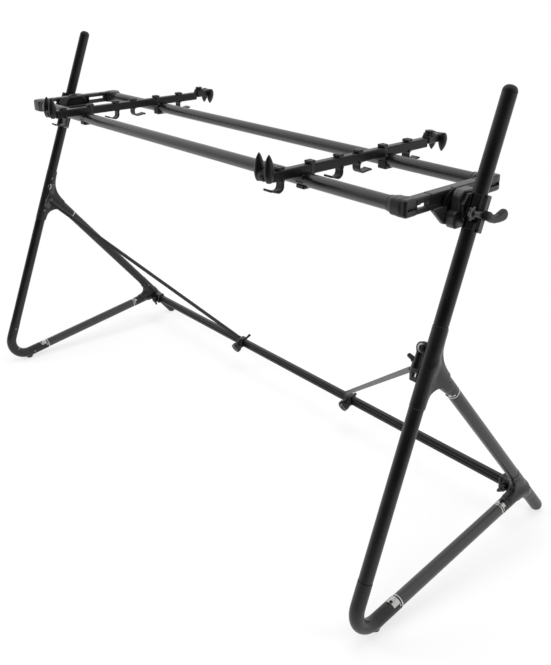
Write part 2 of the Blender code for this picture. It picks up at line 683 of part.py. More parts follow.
def crossbar_clamp(side):
    """The clamp round the crossbar, with the boss of its screw, the pin behind and the lug for the brace."""
    centre = clamp_point(side, 0)
    wall = 2 * CLAMP_WALL
    size = (CLAMP_WIDTH, CROSSBAR_DEPTH + wall, CROSSBAR_TALL + wall)
    body = rounded(block("crossbar_clamp_" + side, centre, size, BLACK_PLASTIC), 0.002)
    boss = rod("clamp_boss_" + side, centre, clamp_point(side, CLAMP_BOSS_REACH), CLAMP_BOSS_RADIUS,
               BLACK_PLASTIC)
    pin = rod("clamp_pin_" + side, centre, clamp_point(side, -CLAMP_PIN_REACH[side]), CLAMP_PIN_RADIUS,
              BLACK_PLASTIC, 16)
    lug_at = centre + Vector((0, -CROSSBAR_DEPTH / 2 - 0.003, CROSSBAR_TALL / 2 + CLAMP_WALL - 0.0025))
    lug_size = (CLAMP_WIDTH * 0.7, 0.012, 0.007)
    lug = rounded(block("clamp_lug_" + side, lug_at, lug_size, BLACK_PLASTIC), 0.002, 1)
    gap = 2 * CLEARANCE
    bore = block("clamp_bore_" + side, centre,
                 (CLAMP_WIDTH * 3, CROSSBAR_DEPTH + gap, CROSSBAR_TALL + gap), None)
    combine(body, "UNION", boss, pin, lug)
    combine(body, "DIFFERENCE", bore)


def clamp_knob(side):
    """The ribbed knob of a crossbar clamp's screw."""
    radius, length = CLAMP_KNOB_RADIUS, CLAMP_KNOB_LENGTH
    profile = [(0, length), (radius - 0.0015, length), (radius, length - 0.0015), (radius, 0.003),
               (radius - 0.003, 0), (0, 0)]
    knob = turned("clamp_knob_" + side, profile, clamp_point(side, CLAMP_BOSS_REACH + CLEARANCE),
                  CLAMP_DIRECTION.to_track_quat("Z", "X").to_euler(), BLACK_PLASTIC)
    for number in range(3):
        turn = Matrix.Rotation(math.radians(120 * number + 15), 3, CLAMP_DIRECTION)
        spoke = turn @ Vector((1, 0, 0))
        middle = clamp_point(side, CLAMP_BOSS_REACH + length * 0.62) + spoke * radius
        notch = rod("knob_notch_" + side + str(number), middle - CLAMP_DIRECTION * length,
                    middle + CLAMP_DIRECTION * length, 0.0028, None, 12)
        combine(knob, "DIFFERENCE", notch)


TILT_AXIS = main_point(TILT_HEIGHT)
BED_HEIGHT = TILT_AXIS.z + BED_RISE
FRONT_RAIL_Y = TILT_AXIS.y - FRONT_RAIL_BEFORE
REAR_RAIL_Y = TILT_AXIS.y + REAR_RAIL_BEHIND
MEMBER_INNER_X = MEMBER_OUTER_X - MEMBER_THICKNESS
HOUSING_INNER_X = MEMBER_OUTER_X + PLATE_THICKNESS + CLEARANCE
RAIL_END_X = MEMBER_INNER_X - 0.002
ARM_CENTRE_HEIGHT = BED_HEIGHT + ARM_RISE


def bed_point(x, y, z):
    """A point of the level bed, measured from the tilt axis."""
    return Vector((x, TILT_AXIS.y + y, TILT_AXIS.z + z))


def rail_y_of(end):
    """The Y of the front or the rear rail."""
    return FRONT_RAIL_Y if end == "front" else REAR_RAIL_Y


def rounded_box(width, height, corner, steps=6):
    """The outline of a rectangle with round corners, round the origin."""
    across, up = width / 2 - corner, height / 2 - corner
    corners = ((across, -up, -0.5), (across, up, 0.0), (-across, up, 0.5), (-across, -up, 1.0))
    outline = []
    for x, y, turn in corners:
        outline += arc((x, y), corner, turn * math.pi, (turn + 0.5) * math.pi, steps)
    return outline


def post_clamp(side):
    """The collar round the post, the housing of the tilt joint beside it and the outer jaw."""
    sign = SIDES[side]
    centre = at_side(TILT_AXIS, side)
    outer = MAIN_RADIUS + COLLAR_WALL
    low = centre - MAIN_DIRECTION * (COLLAR_LENGTH / 2 + COLLAR_SKIRT[side])
    high = centre + MAIN_DIRECTION * COLLAR_LENGTH / 2
    body = rod("post_clamp_" + side, low, high, outer, BLACK_PLASTIC)
    width = HALF_SPAN - MAIN_RADIUS + 0.004 - HOUSING_INNER_X
    housing = plate("tilt_housing_" + side, rounded_box(HOUSING_DEPTH, HOUSING_TALL, HOUSING_CORNER), width,
                    centre + Vector((0, HOUSING_SETBACK, 0)), UPRIGHT, BLACK_PLASTIC)
    housing.location.x = sign * (HOUSING_INNER_X + width / 2)
    lean = Euler((-MAIN_LEAN, 0, 0))
    jaw_x = sign * (MAIN_RADIUS - 0.001 + JAW_THICKNESS / 2)
    jaw = rounded(block("clamp_jaw_" + side, centre + Vector((jaw_x, 0, 0)),
                        (JAW_THICKNESS + 0.002, JAW_WIDTH, JAW_LENGTH), BLACK_PLASTIC, lean), 0.0018)
    bolt_at = centre - MAIN_ACROSS * (outer - 0.001) + Vector((sign * 0.006, 0, 0))
    ears = rounded(block("clamp_ears_" + side, bolt_at, (0.020, 0.011, 0.016), BLACK_PLASTIC, lean), 0.002)
    bolt = rod("clamp_bolt_" + side, centre, centre + Vector((sign * JAW_REACH, 0, 0)), 0.0055,
               BLACK_PLASTIC, 20)
    bore = rod("clamp_post_bore_" + side, at_side(main_point(TILT_HEIGHT - 0.2), side),
               at_side(main_point(TILT_HEIGHT + 0.2), side), MAIN_RADIUS + CLEARANCE, None)
    combine(body, "UNION", housing, jaw, ears, bolt)
    combine(body, "DIFFERENCE", bore)


def clamp_lever(side):
    """The curved thumb lever that tightens a post clamp."""
    sign = SIDES[side]
    start = at_side(TILT_AXIS, side) + Vector((sign * (JAW_REACH + CLEARANCE), 0.002, -0.002))
    radius, length = LEVER_HUB_RADIUS, LEVER_HUB_LENGTH
    hub = turned("clamp_lever_" + side,
                 [(0, length), (radius - 0.0015, length), (radius, length - 0.002), (radius, 0), (0, 0)],
                 start, Euler((0, sign * math.pi / 2, 0)), BLACK_PLASTIC, 24)
    tip = (LEVER_REACH - 0.007, -0.009)
    outline = ([(-0.004, 0.005), (-0.006, -0.004)]
               + arc((0.017, 0.018), 0.0335, -math.radians(128), -math.radians(66), 6)
               + arc(tip, 0.0072, -math.radians(60), math.radians(110), 6)
               + arc((0.026, 0.030), 0.0320, -math.radians(62), -math.radians(106), 5))
    paddle = plate("lever_paddle_" + side, outline, 0.011, start + Vector((sign * 0.0057, 0, 0)), UPRIGHT,
                   BLACK_PLASTIC)
    combine(hub, "UNION", rounded(paddle, 0.0015, 1))


def block_edge(end):
    """The Y of a corner block's outer end, and the direction from there to the bed's middle."""
    inward = 1 if end == "front" else -1
    return rail_y_of(end) - inward * (RAIL_RADIUS + SLEEVE_WALL + BLOCK_OVERHANG[end]), inward


def bed_slot(name, side, end):
    """The cutter of the slot through a side member and its corner block."""
    outward = -1 if end == "front" else 1
    middle = bed_point(SIDES[side] * (MEMBER_OUTER_X - MEMBER_THICKNESS / 2),
                       outward * (SLOT_START + SLOT_END) / 2, BED_RISE)
    return block(name + "_slot_" + end + "_" + side, middle,
                 (MEMBER_THICKNESS + 0.001, SLOT_END - SLOT_START, MEMBER_SLOT_TALL), None)


def side_member(side):
    """The slotted bar at the bed's end, with the disc of the tilt joint on its outer side."""
    sign = SIDES[side]
    middle_x = MEMBER_OUTER_X - MEMBER_THICKNESS / 2
    front = block_edge("front")[0] + BLOCK_LENGTH + CLEARANCE
    rear = block_edge("rear")[0] - BLOCK_LENGTH - CLEARANCE
    centre = Vector((sign * middle_x, (front + rear) / 2, BED_HEIGHT))
    size = (MEMBER_THICKNESS, rear - front, MEMBER_TALL)
    body = rounded(block("side_member_" + side, centre, size, BLACK_CASTING), 0.0025)
    disc_x = MEMBER_OUTER_X - 0.004
    thickness = PLATE_THICKNESS + 0.004
    disc = rod("tilt_disc_" + side, bed_point(sign * disc_x, 0, 0),
               bed_point(sign * (disc_x + thickness), 0, 0), PLATE_RADIUS, BLACK_PLASTIC, 36)
    half, drop, top = GUSSET_HALF_LENGTH, GUSSET_DROP, BED_RISE - 0.010
    outline = [(-half, top), (-half / 2, -drop * 0.8), (0.0, -drop), (half / 2, -drop * 0.8), (half, top)]
    gusset = plate("tilt_gusset_" + side, outline, thickness,
                   bed_point(sign * (disc_x + thickness / 2), 0, 0), UPRIGHT, BLACK_PLASTIC)
    combine(body, "DIFFERENCE", bed_slot("member", side, "front"), bed_slot("member", side, "rear"))
    combine(body, "UNION", disc, gusset)


def corner_block(side, end):
    """The elbow at a corner of the bed: a sleeve for the rail and an arm that meets the side member."""
    sign = SIDES[side]
    name = end + "_" + side
    rail_y = rail_y_of(end)
    outer_y, inward = block_edge(end)
    middle_x = MEMBER_OUTER_X - MEMBER_THICKNESS / 2
    centre = Vector((sign * middle_x, outer_y + inward * BLOCK_LENGTH / 2, BED_HEIGHT))
    body = rounded(block("corner_block_" + name, centre, (MEMBER_THICKNESS, BLOCK_LENGTH, MEMBER_TALL),
                         BLACK_PLASTIC), 0.003, 2)
    groove = block("block_groove_" + name,
                   Vector((sign * (MEMBER_OUTER_X + 0.001), outer_y + inward * 0.024, BED_HEIGHT)),
                   (0.008, 0.030, 0.005), None)
    start = Vector((sign * (MEMBER_INNER_X + 0.006), rail_y, BED_HEIGHT))
    stop_at = Vector((sign * (MEMBER_INNER_X - SLEEVE_LENGTH), rail_y, BED_HEIGHT))
    sleeve = rod("rail_sleeve_" + name, start, stop_at, RAIL_RADIUS + SLEEVE_WALL, BLACK_PLASTIC)
    bore = rod("rail_bore_" + name, Vector((sign * (RAIL_END_X + CLEARANCE), rail_y, BED_HEIGHT)),
               Vector((sign * (RAIL_END_X - 0.1), rail_y, BED_HEIGHT)), RAIL_RADIUS + CLEARANCE, None)
    combine(body, "UNION", sleeve)
    combine(body, "DIFFERENCE", bore, groove, bed_slot("block", side, end))


def bed_rail(end):
    """A round rail between the corner blocks."""
    tube("bed_rail_" + end, Vector((-RAIL_END_X, rail_y_of(end), BED_HEIGHT)),
         Vector((RAIL_END_X, rail_y_of(end), BED_HEIGHT)), RAIL_RADIUS, BLACK_RAIL)


def rail_cutter(name, end):
    """A rod a little thicker than a rail, to cut the seat of that rail."""
    start = Vector((-RAIL_END_X, rail_y_of(end), BED_HEIGHT))
    return rod(name, start, start + Vector((2 * RAIL_END_X, 0, 0)), RAIL_RADIUS + CLEARANCE, None)


def arm_point(side, y, z):
    """A point over the arm's centre line, measured from the tilt axis along Y and from the arm's middle."""
    return Vector((ARM_X[side], TILT_AXIS.y + y, ARM_CENTRE_HEIGHT + z))


def arm_bar(side):
    """The bar of a support arm, seated over both rails."""
    centre = arm_point(side, (ARM_FRONT_Y + ARM_REAR_Y) / 2, 0)
    bar = block("arm_bar_" + side, centre, (ARM_WIDTH, ARM_REAR_Y - ARM_FRONT_Y, ARM_TALL), BLACK_PLASTIC)
    rounded(bar, 0.0025)
    for end in ("front", "rear"):
        combine(bar, "DIFFERENCE", rail_cutter("arm_seat_" + end + "_" + side, end))


def band_outline(extra):
    """A rectangle round the arm bar."""
    return box_outline(ARM_WIDTH + 2 * extra, ARM_TALL + 2 * extra)


def saddle(name, side, y, length):
    """The low lump on top of a clip."""
    top = ARM_TALL / 2 + CLEARANCE + HOOK_BAND / 2
    place = arm_point(side, y, top + SADDLE_HEIGHT / 2)
    return rounded(block("saddle_" + name, place, (ARM_WIDTH * 0.85, length, SADDLE_HEIGHT), BLACK_PLASTIC),
                   0.0015, 1)


def cable_hook(side, number):
    """A clip round the arm bar with a J hook below it and a low saddle on top."""
    end = "front" if number < 2 else "rear"
    facing = -1 if end == "front" else 1
    y = HOOK_Y[number]
    reach, rise = HOOK_REACH[end], HOOK_TIP_RISE[end]
    name = "cable_hook_" + side + "_" + str(number + 1)
    body = plate(name, band_outline(CLEARANCE + HOOK_BAND), HOOK_LENGTH, arm_point(side, y, 0), ACROSS,
                 BLACK_PLASTIC, band_outline(CLEARANCE))
    low = -ARM_TALL / 2 - CLEARANCE - HOOK_BAND / 2
    bottom = low - HOOK_DROP
    back = -facing * 0.004
    middle = (back + facing * HOOK_BEND, bottom + HOOK_BEND)
    start = math.pi if facing > 0 else 0
    sweep = facing * math.radians(92 + 2000 * rise)
    outer = arc(middle, HOOK_BEND, start, start + sweep, 8)
    inner = arc(middle, HOOK_BEND - HOOK_WALL, start + sweep, start, 8)
    tip = [(facing * reach, bottom + rise), (facing * (reach - 0.001), bottom + rise + 0.0025)]
    outline = [(back, low)] + outer + tip + inner + [(back + facing * HOOK_WALL, low)]
    hook = plate("hook_" + name, outline, ARM_WIDTH, arm_point(side, y, 0), UPRIGHT, BLACK_PLASTIC)
    combine(body, "UNION", hook, saddle(name, side, y, HOOK_LENGTH * 0.9))


def rail_clamp(side, end):
    """The clamp that holds a support arm on a rail: a bridge over the bar and a jaw under the rail."""
    name = "rail_clamp_" + end + "_" + side
    inward = 1 if end == "front" else -1
    y = rail_y_of(end) - TILT_AXIS.y
    top = ARM_TALL / 2 + CLEARANCE + HOOK_BAND
    bottom = BED_HEIGHT - RAIL_RADIUS - RAIL_CLAMP_WALL - ARM_CENTRE_HEIGHT
    width = ARM_WIDTH + 2 * CLEARANCE + 2 * HOOK_BAND
    size = (width, RAIL_CLAMP_LENGTH, top - bottom)
    body = rounded(block(name, arm_point(side, y, (top + bottom) / 2), size, BLACK_PLASTIC), 0.002, 1)
    band = block("band_" + name, arm_point(side, y + inward * SADDLE_INWARD, 0),
                 (width, SADDLE_LENGTH, ARM_TALL + 2 * (CLEARANCE + HOOK_BAND)), BLACK_PLASTIC)
    channel = block("arm_channel_" + name, arm_point(side, y, 0),
                    (ARM_WIDTH + 2 * CLEARANCE, RAIL_CLAMP_LENGTH * 4, ARM_TALL + 2 * CLEARANCE), None)
    lump = saddle(name, side, y + inward * SADDLE_INWARD, SADDLE_LENGTH)
    combine(body, "UNION", rounded(band, 0.001, 1), lump)
    combine(body, "DIFFERENCE", channel, rail_cutter("rail_seat_" + name, end))


def horn(name, place, up, tall):
    """One leaf-shaped horn of a stop."""
    half = HORN_WIDTH / 2
    profile = [(0.55, -0.27), (0.92, -0.05), (1.0, 0.28), (0.86, 0.58), (0.58, 0.82), (0.3, 0.95), (0.0, 1.0)]
    right = [(half * across, tall * height * up) for across, height in profile]
    outline = right + [(-across, height) for across, height in reversed(right[:-1])]
    made = plate(name, outline, HORN_THICKNESS, place, ACROSS, BLACK_PLASTIC)
    return rounded(made, 0.002, 1)


def stop(side, end):
    """The stop at an end of an arm: two horns that keep the keyboard in place, turned down when unused."""
    outward = -1 if end == "front" else 1
    up = 1 if end == "front" else -1
    length = STOP_LENGTH[end]
    bar_end = ARM_FRONT_Y if end == "front" else ARM_REAR_Y
    name = end + "_stop_" + side
    axis = arm_point(side, bar_end + outward * (length / 2 + CLEARANCE), STOP_AXIS_LIFT)
    body = rounded(block(name, axis, (ARM_WIDTH + 0.004, length, STOP_TALL), BLACK_PLASTIC), 0.004, 2)
    horn_y = axis + Vector((0, outward * (length / 2 - HORN_THICKNESS / 2), 0))
    bridge = rounded(block("bridge_" + name, horn_y - Vector((0, 0, up * 0.001)),
                           (STOP_WIDTH, HORN_THICKNESS, STOP_TALL * 0.9), BLACK_PLASTIC), 0.0035, 2)
    combine(body, "UNION", bridge)
    for number, offset in enumerate((-HORN_SPREAD / 2, HORN_SPREAD / 2)):
        leaf = horn(name + "_horn_" + str(number), horn_y + Vector((offset, 0, 0)), up, HORN_HEIGHT[end])
        combine(body, "UNION", leaf)
    if end == "rear":
        radius, tall = STOP_KNOB_RADIUS, STOP_KNOB_HEIGHT
        knob = turned("knob_" + name, [(0, tall), (radius * 0.6, tall), (radius * 0.6, tall * 0.62),
                                       (radius, tall * 0.5), (radius, -0.003), (0, -0.003)],
                      axis + Vector((0, -length * 0.28, STOP_TALL / 2)), Euler((0, 0, 0)), BLACK_PLASTIC, 24)
        combine(body, "UNION", knob)


def build_frames():
    """Both side frames."""
    for side in SIDES:
        post_tube(side)
        upper_joint(side)
        lower_tube(side)
        front_elbow(side)
        floor_tube(side)
        rear_foot(side)
        rear_leg(side)


def build_cross():
    """The crossbar, its clamps and the braces."""
    crossbar()
    for side in SIDES:
        end_bracket(side)
        end_lever(side)
        brace(side)
        brace_bracket(side)
        wing_screw(side)
        crossbar_clamp(side)
        clamp_knob(side)


def build_carriage():
    """The post clamps with their levers."""
    for side in SIDES:
        post_clamp(side)
        clamp_lever(side)


def build_bed():
    """The rails, the side members and the corner blocks."""
    for end in ("front", "rear"):
        bed_rail(end)
    for side in SIDES:
        side_member(side)
        for end in ("front", "rear"):
            corner_block(side, end)


def build_arm(side):
    """One support arm with its clamps, hooks and stops."""
    arm_bar(side)
    for end in ("front", "rear"):
        rail_clamp(side, end)
        stop(side, end)
    for number in range(len(HOOK_Y)):
        cable_hook(side, number)


def gather(name, place, known, parent):
    """Parents every object made since the known ones to an empty at a place, and returns the empty."""
    empty = bpy.data.objects.new(name, None)
    PARTS.objects.link(empty)
    empty.location = place
    for made in sorted(bpy.data.objects, key=lambda item: item.name):
        if made.name not in known and made is not empty:
            made.parent = empty
            made.matrix_parent_inverse = Matrix.Translation(-place)
    if parent is not None:
        empty.parent = parent[0]
        empty.matrix_parent_inverse = Matrix.Translation(-parent[1])
    return empty


def names():
    """The names of all objects made so far."""
    return {made.name for made in bpy.data.objects}


def stand_middle():
    """The middle of the stand's outline along Y, from the elbows' bends to the toes."""
    half = MAIN_DIRECTION.angle(FLOOR_DIRECTION) / 2
    middle = (MAIN_DIRECTION + FLOOR_DIRECTION).normalized()
    bend = ELBOW_CORNER + middle * (ELBOW_BEND_RADIUS / math.sin(half))
    front = bend.y - ELBOW_BEND_RADIUS - CASTING_RADIUS
    return (front + toe_centre().y + FOOT_RADIUS) / 2


def build():
    """The whole stand, in its tree: base, carriage on the posts, tilting bed, sliding arms."""
    build_frames()
    build_cross()
    base_place = Vector((0, stand_middle(), 0))
    base = gather("stand_base", base_place, set(), None)
    known = names()
    build_carriage()
    carriage = gather("carriage", TILT_AXIS, known, (base, base_place))
    known = names()
    build_bed()
    bed = gather("tilting_bed", TILT_AXIS, known, (carriage, TILT_AXIS))
    for side in SIDES:
        known = names()
        build_arm(side)
        arm_place = Vector((ARM_X[side], TILT_AXIS.y, BED_HEIGHT))
        gather("sliding_arm_" + side, arm_place, known, (bed, TILT_AXIS))
    bed.rotation_euler = Euler((BED_TILT, 0, 0))
    base.location = (0, 0, 0)


build()
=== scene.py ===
"""Dresses the keyboard stand: painted tubes, cast joints, bright rings, moulded clamps, hooks and stops.

Lengths are in metres. A piece of the right side is worked out with X measured outwards from the middle,
and the left one is its mirror image, so each shape is written once.
"""

import json
import logging
import math
from dataclasses import dataclass, field
from enum import Enum
from typing import Any, Callable, Iterable, Sequence

import bpy
import numpy as np
from mathutils import Matrix, Vector

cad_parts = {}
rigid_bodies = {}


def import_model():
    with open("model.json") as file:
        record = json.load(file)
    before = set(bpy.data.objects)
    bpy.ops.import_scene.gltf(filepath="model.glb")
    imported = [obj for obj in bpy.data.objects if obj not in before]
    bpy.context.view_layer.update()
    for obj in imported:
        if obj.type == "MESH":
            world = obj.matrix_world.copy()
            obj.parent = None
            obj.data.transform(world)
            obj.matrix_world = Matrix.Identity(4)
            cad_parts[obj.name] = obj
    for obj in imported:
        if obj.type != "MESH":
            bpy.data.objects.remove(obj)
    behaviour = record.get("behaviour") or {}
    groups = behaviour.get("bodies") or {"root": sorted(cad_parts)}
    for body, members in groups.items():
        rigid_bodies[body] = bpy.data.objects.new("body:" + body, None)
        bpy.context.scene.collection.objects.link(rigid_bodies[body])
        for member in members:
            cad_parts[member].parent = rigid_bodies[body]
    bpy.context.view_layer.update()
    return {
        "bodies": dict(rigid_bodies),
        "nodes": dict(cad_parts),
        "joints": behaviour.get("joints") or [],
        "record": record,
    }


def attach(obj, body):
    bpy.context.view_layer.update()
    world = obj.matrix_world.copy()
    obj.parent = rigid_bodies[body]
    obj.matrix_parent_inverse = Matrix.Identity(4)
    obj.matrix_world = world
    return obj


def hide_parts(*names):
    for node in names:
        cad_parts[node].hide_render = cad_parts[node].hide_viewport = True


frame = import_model()
LOG = logging.getLogger("stand")

Array = np.ndarray
Field = Callable[[Array], Array]
Colour = tuple[float, float, float]

X_AXIS = np.array([1.0, 0.0, 0.0])
Y_AXIS = np.array([0.0, 1.0, 0.0])
Z_AXIS = np.array([0.0, 0.0, 1.0])


class Side(Enum):
    """The right or the left half of the stand, with the sign of its X."""

    RIGHT = 1
    LEFT = -1

    @property
    def label(self) -> str:
        """The word that the side's pieces and nodes end with."""
        return self.name.lower()


class End(Enum):
    """The front or the rear end of the bed or of an arm, with the sign of its Y."""

    FRONT = -1
    REAR = 1

    @property
    def label(self) -> str:
        """The word used in the names of pieces and nodes."""
        return self.name.lower()


# ---------------------------------------------------------------------------------------------------------
# Shapes


def unit(vector: Array) -> Array:
    """The vector divided by its length."""
    return np.asarray(vector, float) / np.linalg.norm(vector)


def axes_along(axis: Array, hint: Array = X_AXIS) -> tuple[Array, Array, Array]:
    """Three directions at right angles, the last one along the axis.

    Args:
        axis: The direction of the third one.
        hint: The first one is this direction, less its part along the axis.

    Returns:
        The three unit vectors, which turn like X, Y and Z.
    """
    along = unit(axis)
    first = unit(hint - along * (hint @ along))
    return first, np.cross(along, first), along


def turn_about(angle: float) -> Array:
    """The direction in the YZ plane at an angle from +Y towards +Z."""
    return np.array([0.0, math.cos(angle), math.sin(angle)])


@dataclass
class Surface:
    """Points and faces of one closed surface, with its faces pointing outwards."""

    points: Array
    faces: list[Array]

    def weld(self) -> "Surface":
        """Joins points that coincide, and drops the faces or corners that this leaves without a size."""
        _, first, index = np.unique(np.round(self.points / 1e-7), axis=0, return_index=True, return_inverse=True)
        faces: list[Array] = []
        for group in self.faces:
            moved = index.reshape(-1)[group]
            same = moved == np.roll(moved, -1, axis=1)
            faces.append(moved[same.sum(1) == 0])
            once = same.sum(1) == 1
            if moved.shape[1] == 4 and once.any():
                faces.append(moved[once][~same[once]].reshape(-1, 3))
        return Surface(self.points[first], [group for group in faces if len(group)])

    def on(self, side: Side) -> "Surface":
        """The surface as it is on the right, or its mirror image on the left."""
        if side is Side.RIGHT:
            return self
        return Surface(self.points * [-1.0, 1.0, 1.0], [group[:, ::-1] for group in self.faces])


def joined(surfaces: Iterable[Surface]) -> Surface:
    """One surface that holds all the given ones."""
    points: list[Array] = []
    faces: list[Array] = []
    count = 0
    for surface in surfaces:
        points.append(surface.points)
        faces += [group + count for group in surface.faces]
        count += len(surface.points)
    return Surface(np.concatenate(points), faces)


def grid_faces(rows: int, columns: int) -> Array:
    """The four-cornered faces of a grid whose columns close on themselves.

    Corner (i, j) is point i * columns + j, and a face takes (i, j), (i, j+1), (i+1, j+1), (i+1, j).
    """
    i, j = np.meshgrid(np.arange(rows - 1), np.arange(columns), indexing="ij")
    k = (j + 1) % columns
    quads = np.stack([i * columns + j, i * columns + k, (i + 1) * columns + k, (i + 1) * columns + j], -1)
    return quads.reshape(-1, 4)


def lathe(profile: Sequence[tuple[float, float]], origin: Array, axis: Array, steps: int = 56) -> Surface:
    """A turned shape.

    The point (u, v) is origin + axis * height(v) + radius(v) * (cos u * first + sin u * second), with u
    going once round and v along the profile. A profile goes up along the axis on the outside, and starts
    and ends on the axis where the shape is solid; a bored one comes back down the inside.

    Args:
        profile: Pairs of radius and height.
        origin: Where the heights are measured from.
        axis: The direction of the heights.
        steps: The number of corners round the axis.

    Returns:
        The closed surface.
    """
    first, second, along = axes_along(axis, X_AXIS if abs(unit(axis)[0]) < 0.9 else Y_AXIS)
    outline = np.asarray(profile, float)
    around = np.arange(steps) * 2 * np.pi / steps
    ring = np.cos(around)[:, None] * first + np.sin(around)[:, None] * second
    points = origin + outline[:, None, 1:] * along + outline[:, None, :1] * ring
    return Surface(points.reshape(-1, 3), [grid_faces(len(outline), steps)]).weld()


def cap_fans(rows: int, columns: int, centres: tuple[int, int]) -> Array:
    """The triangles that close the first and the last row of a grid round two middle points."""
    j = np.arange(columns)
    k = (j + 1) % columns
    last = (rows - 1) * columns
    low = np.stack([np.full(columns, centres[0]), k, j], -1)
    high = np.stack([np.full(columns, centres[1]), last + j, last + k], -1)
    return np.concatenate([low, high])


def carried(section: Array, path: Array, across: Array, edge: float = 0.0) -> Surface:
    """A profile carried along a path in a plane.

    The point (u, v) is path(v) + section_x(u) * across + section_y(u) * normal(v), where the normal is at
    right angles to the path and to across. The first and last rows are drawn in by the edge radius along a
    quarter circle, so that the ends have round edges, and each end is closed by a fan.

    Args:
        section: Corners (n, 2) of the profile, in the turning sense.
        path: Points (m, 3) of the path.
        across: The direction at right angles to the path's plane.
        edge: The radius of the round edge at both ends.

    Returns:
        The closed surface.
    """
    path = np.asarray(path, float)
    tangent = np.gradient(path, axis=0)
    tangent /= np.linalg.norm(tangent, axis=1)[:, None]
    normal = np.cross(tangent, across)
    scale = np.ones(len(path))
    if edge > 0:
        bend = np.linspace(0, np.pi / 2, 5)
        reach = np.abs(section).max()
        inset = 1 - edge * (1 - np.sin(bend)) / reach
        shift = edge * (1 - np.cos(bend))
        head = path[0] + tangent[0] * shift[:, None]
        tail = (path[-1] - tangent[-1] * shift[:, None])[::-1]
        path = np.concatenate([head, path[1:-1], tail])
        normal = np.concatenate([np.repeat(normal[:1], 5, 0), normal[1:-1], np.repeat(normal[-1:], 5, 0)])
        scale = np.concatenate([inset, scale[1:-1], inset[::-1]])
    points = (path[:, None] + scale[:, None, None]
              * (section[None, :, :1] * across + section[None, :, 1:] * normal[:, None]))
    rows, columns = points.shape[:2]
    middles = points[[0, -1]].mean(1)
    points = np.concatenate([points.reshape(-1, 3), middles])
    ends = (rows * columns, rows * columns + 1)
    return Surface(points, [grid_faces(rows, columns), cap_fans(rows, columns, ends)])


def round_corners(corners: Sequence[tuple[float, float]], radius: float, steps: int = 5) -> Array:
    """The outline of a polygon with each corner replaced by an arc, as points (n, 2)."""
    corner = np.asarray(corners, float)
    back = np.roll(corner, 1, 0) - corner
    ahead = np.roll(corner, -1, 0) - corner
    back_length, ahead_length = (np.linalg.norm(v, axis=1)[:, None] for v in (back, ahead))
    back, ahead = back / back_length, ahead / ahead_length
    half = np.arccos(np.clip((back * ahead).sum(1), -1, 1))[:, None] / 2
    reach = np.minimum(radius / np.tan(half), 0.49 * np.minimum(back_length, ahead_length))
    actual = reach * np.tan(half)
    middle = back + ahead
    middle /= np.maximum(np.linalg.norm(middle, axis=1)[:, None], 1e-9)
    centre = corner + middle * (actual / np.sin(half))
    start, end = corner + back * reach - centre, corner + ahead * reach - centre
    share = np.linspace(0, 1, steps)[None, :, None]
    chord = start[:, None] * (1 - share) + end[:, None] * share
    chord *= actual[:, None] / np.maximum(np.linalg.norm(chord, axis=2)[:, :, None], 1e-12)
    return (centre[:, None] + chord).reshape(-1, 2)


def arc_points(centre: tuple[float, float], radius: float, start: float, end: float, steps: int = 16) -> Array:
    """Points (n, 2) on an arc, from one angle to another."""
    angle = np.linspace(start, end, steps)
    return np.stack([centre[0] + radius * np.cos(angle), centre[1] + radius * np.sin(angle)], -1)


def box_corners(width: float, height: float) -> list[tuple[float, float]]:
    """The four corners of a rectangle round the origin."""
    return [(-width / 2, -height / 2), (width / 2, -height / 2), (width / 2, height / 2), (-width / 2, height / 2)]


# ---------------------------------------------------------------------------------------------------------
# Solids given by their distance


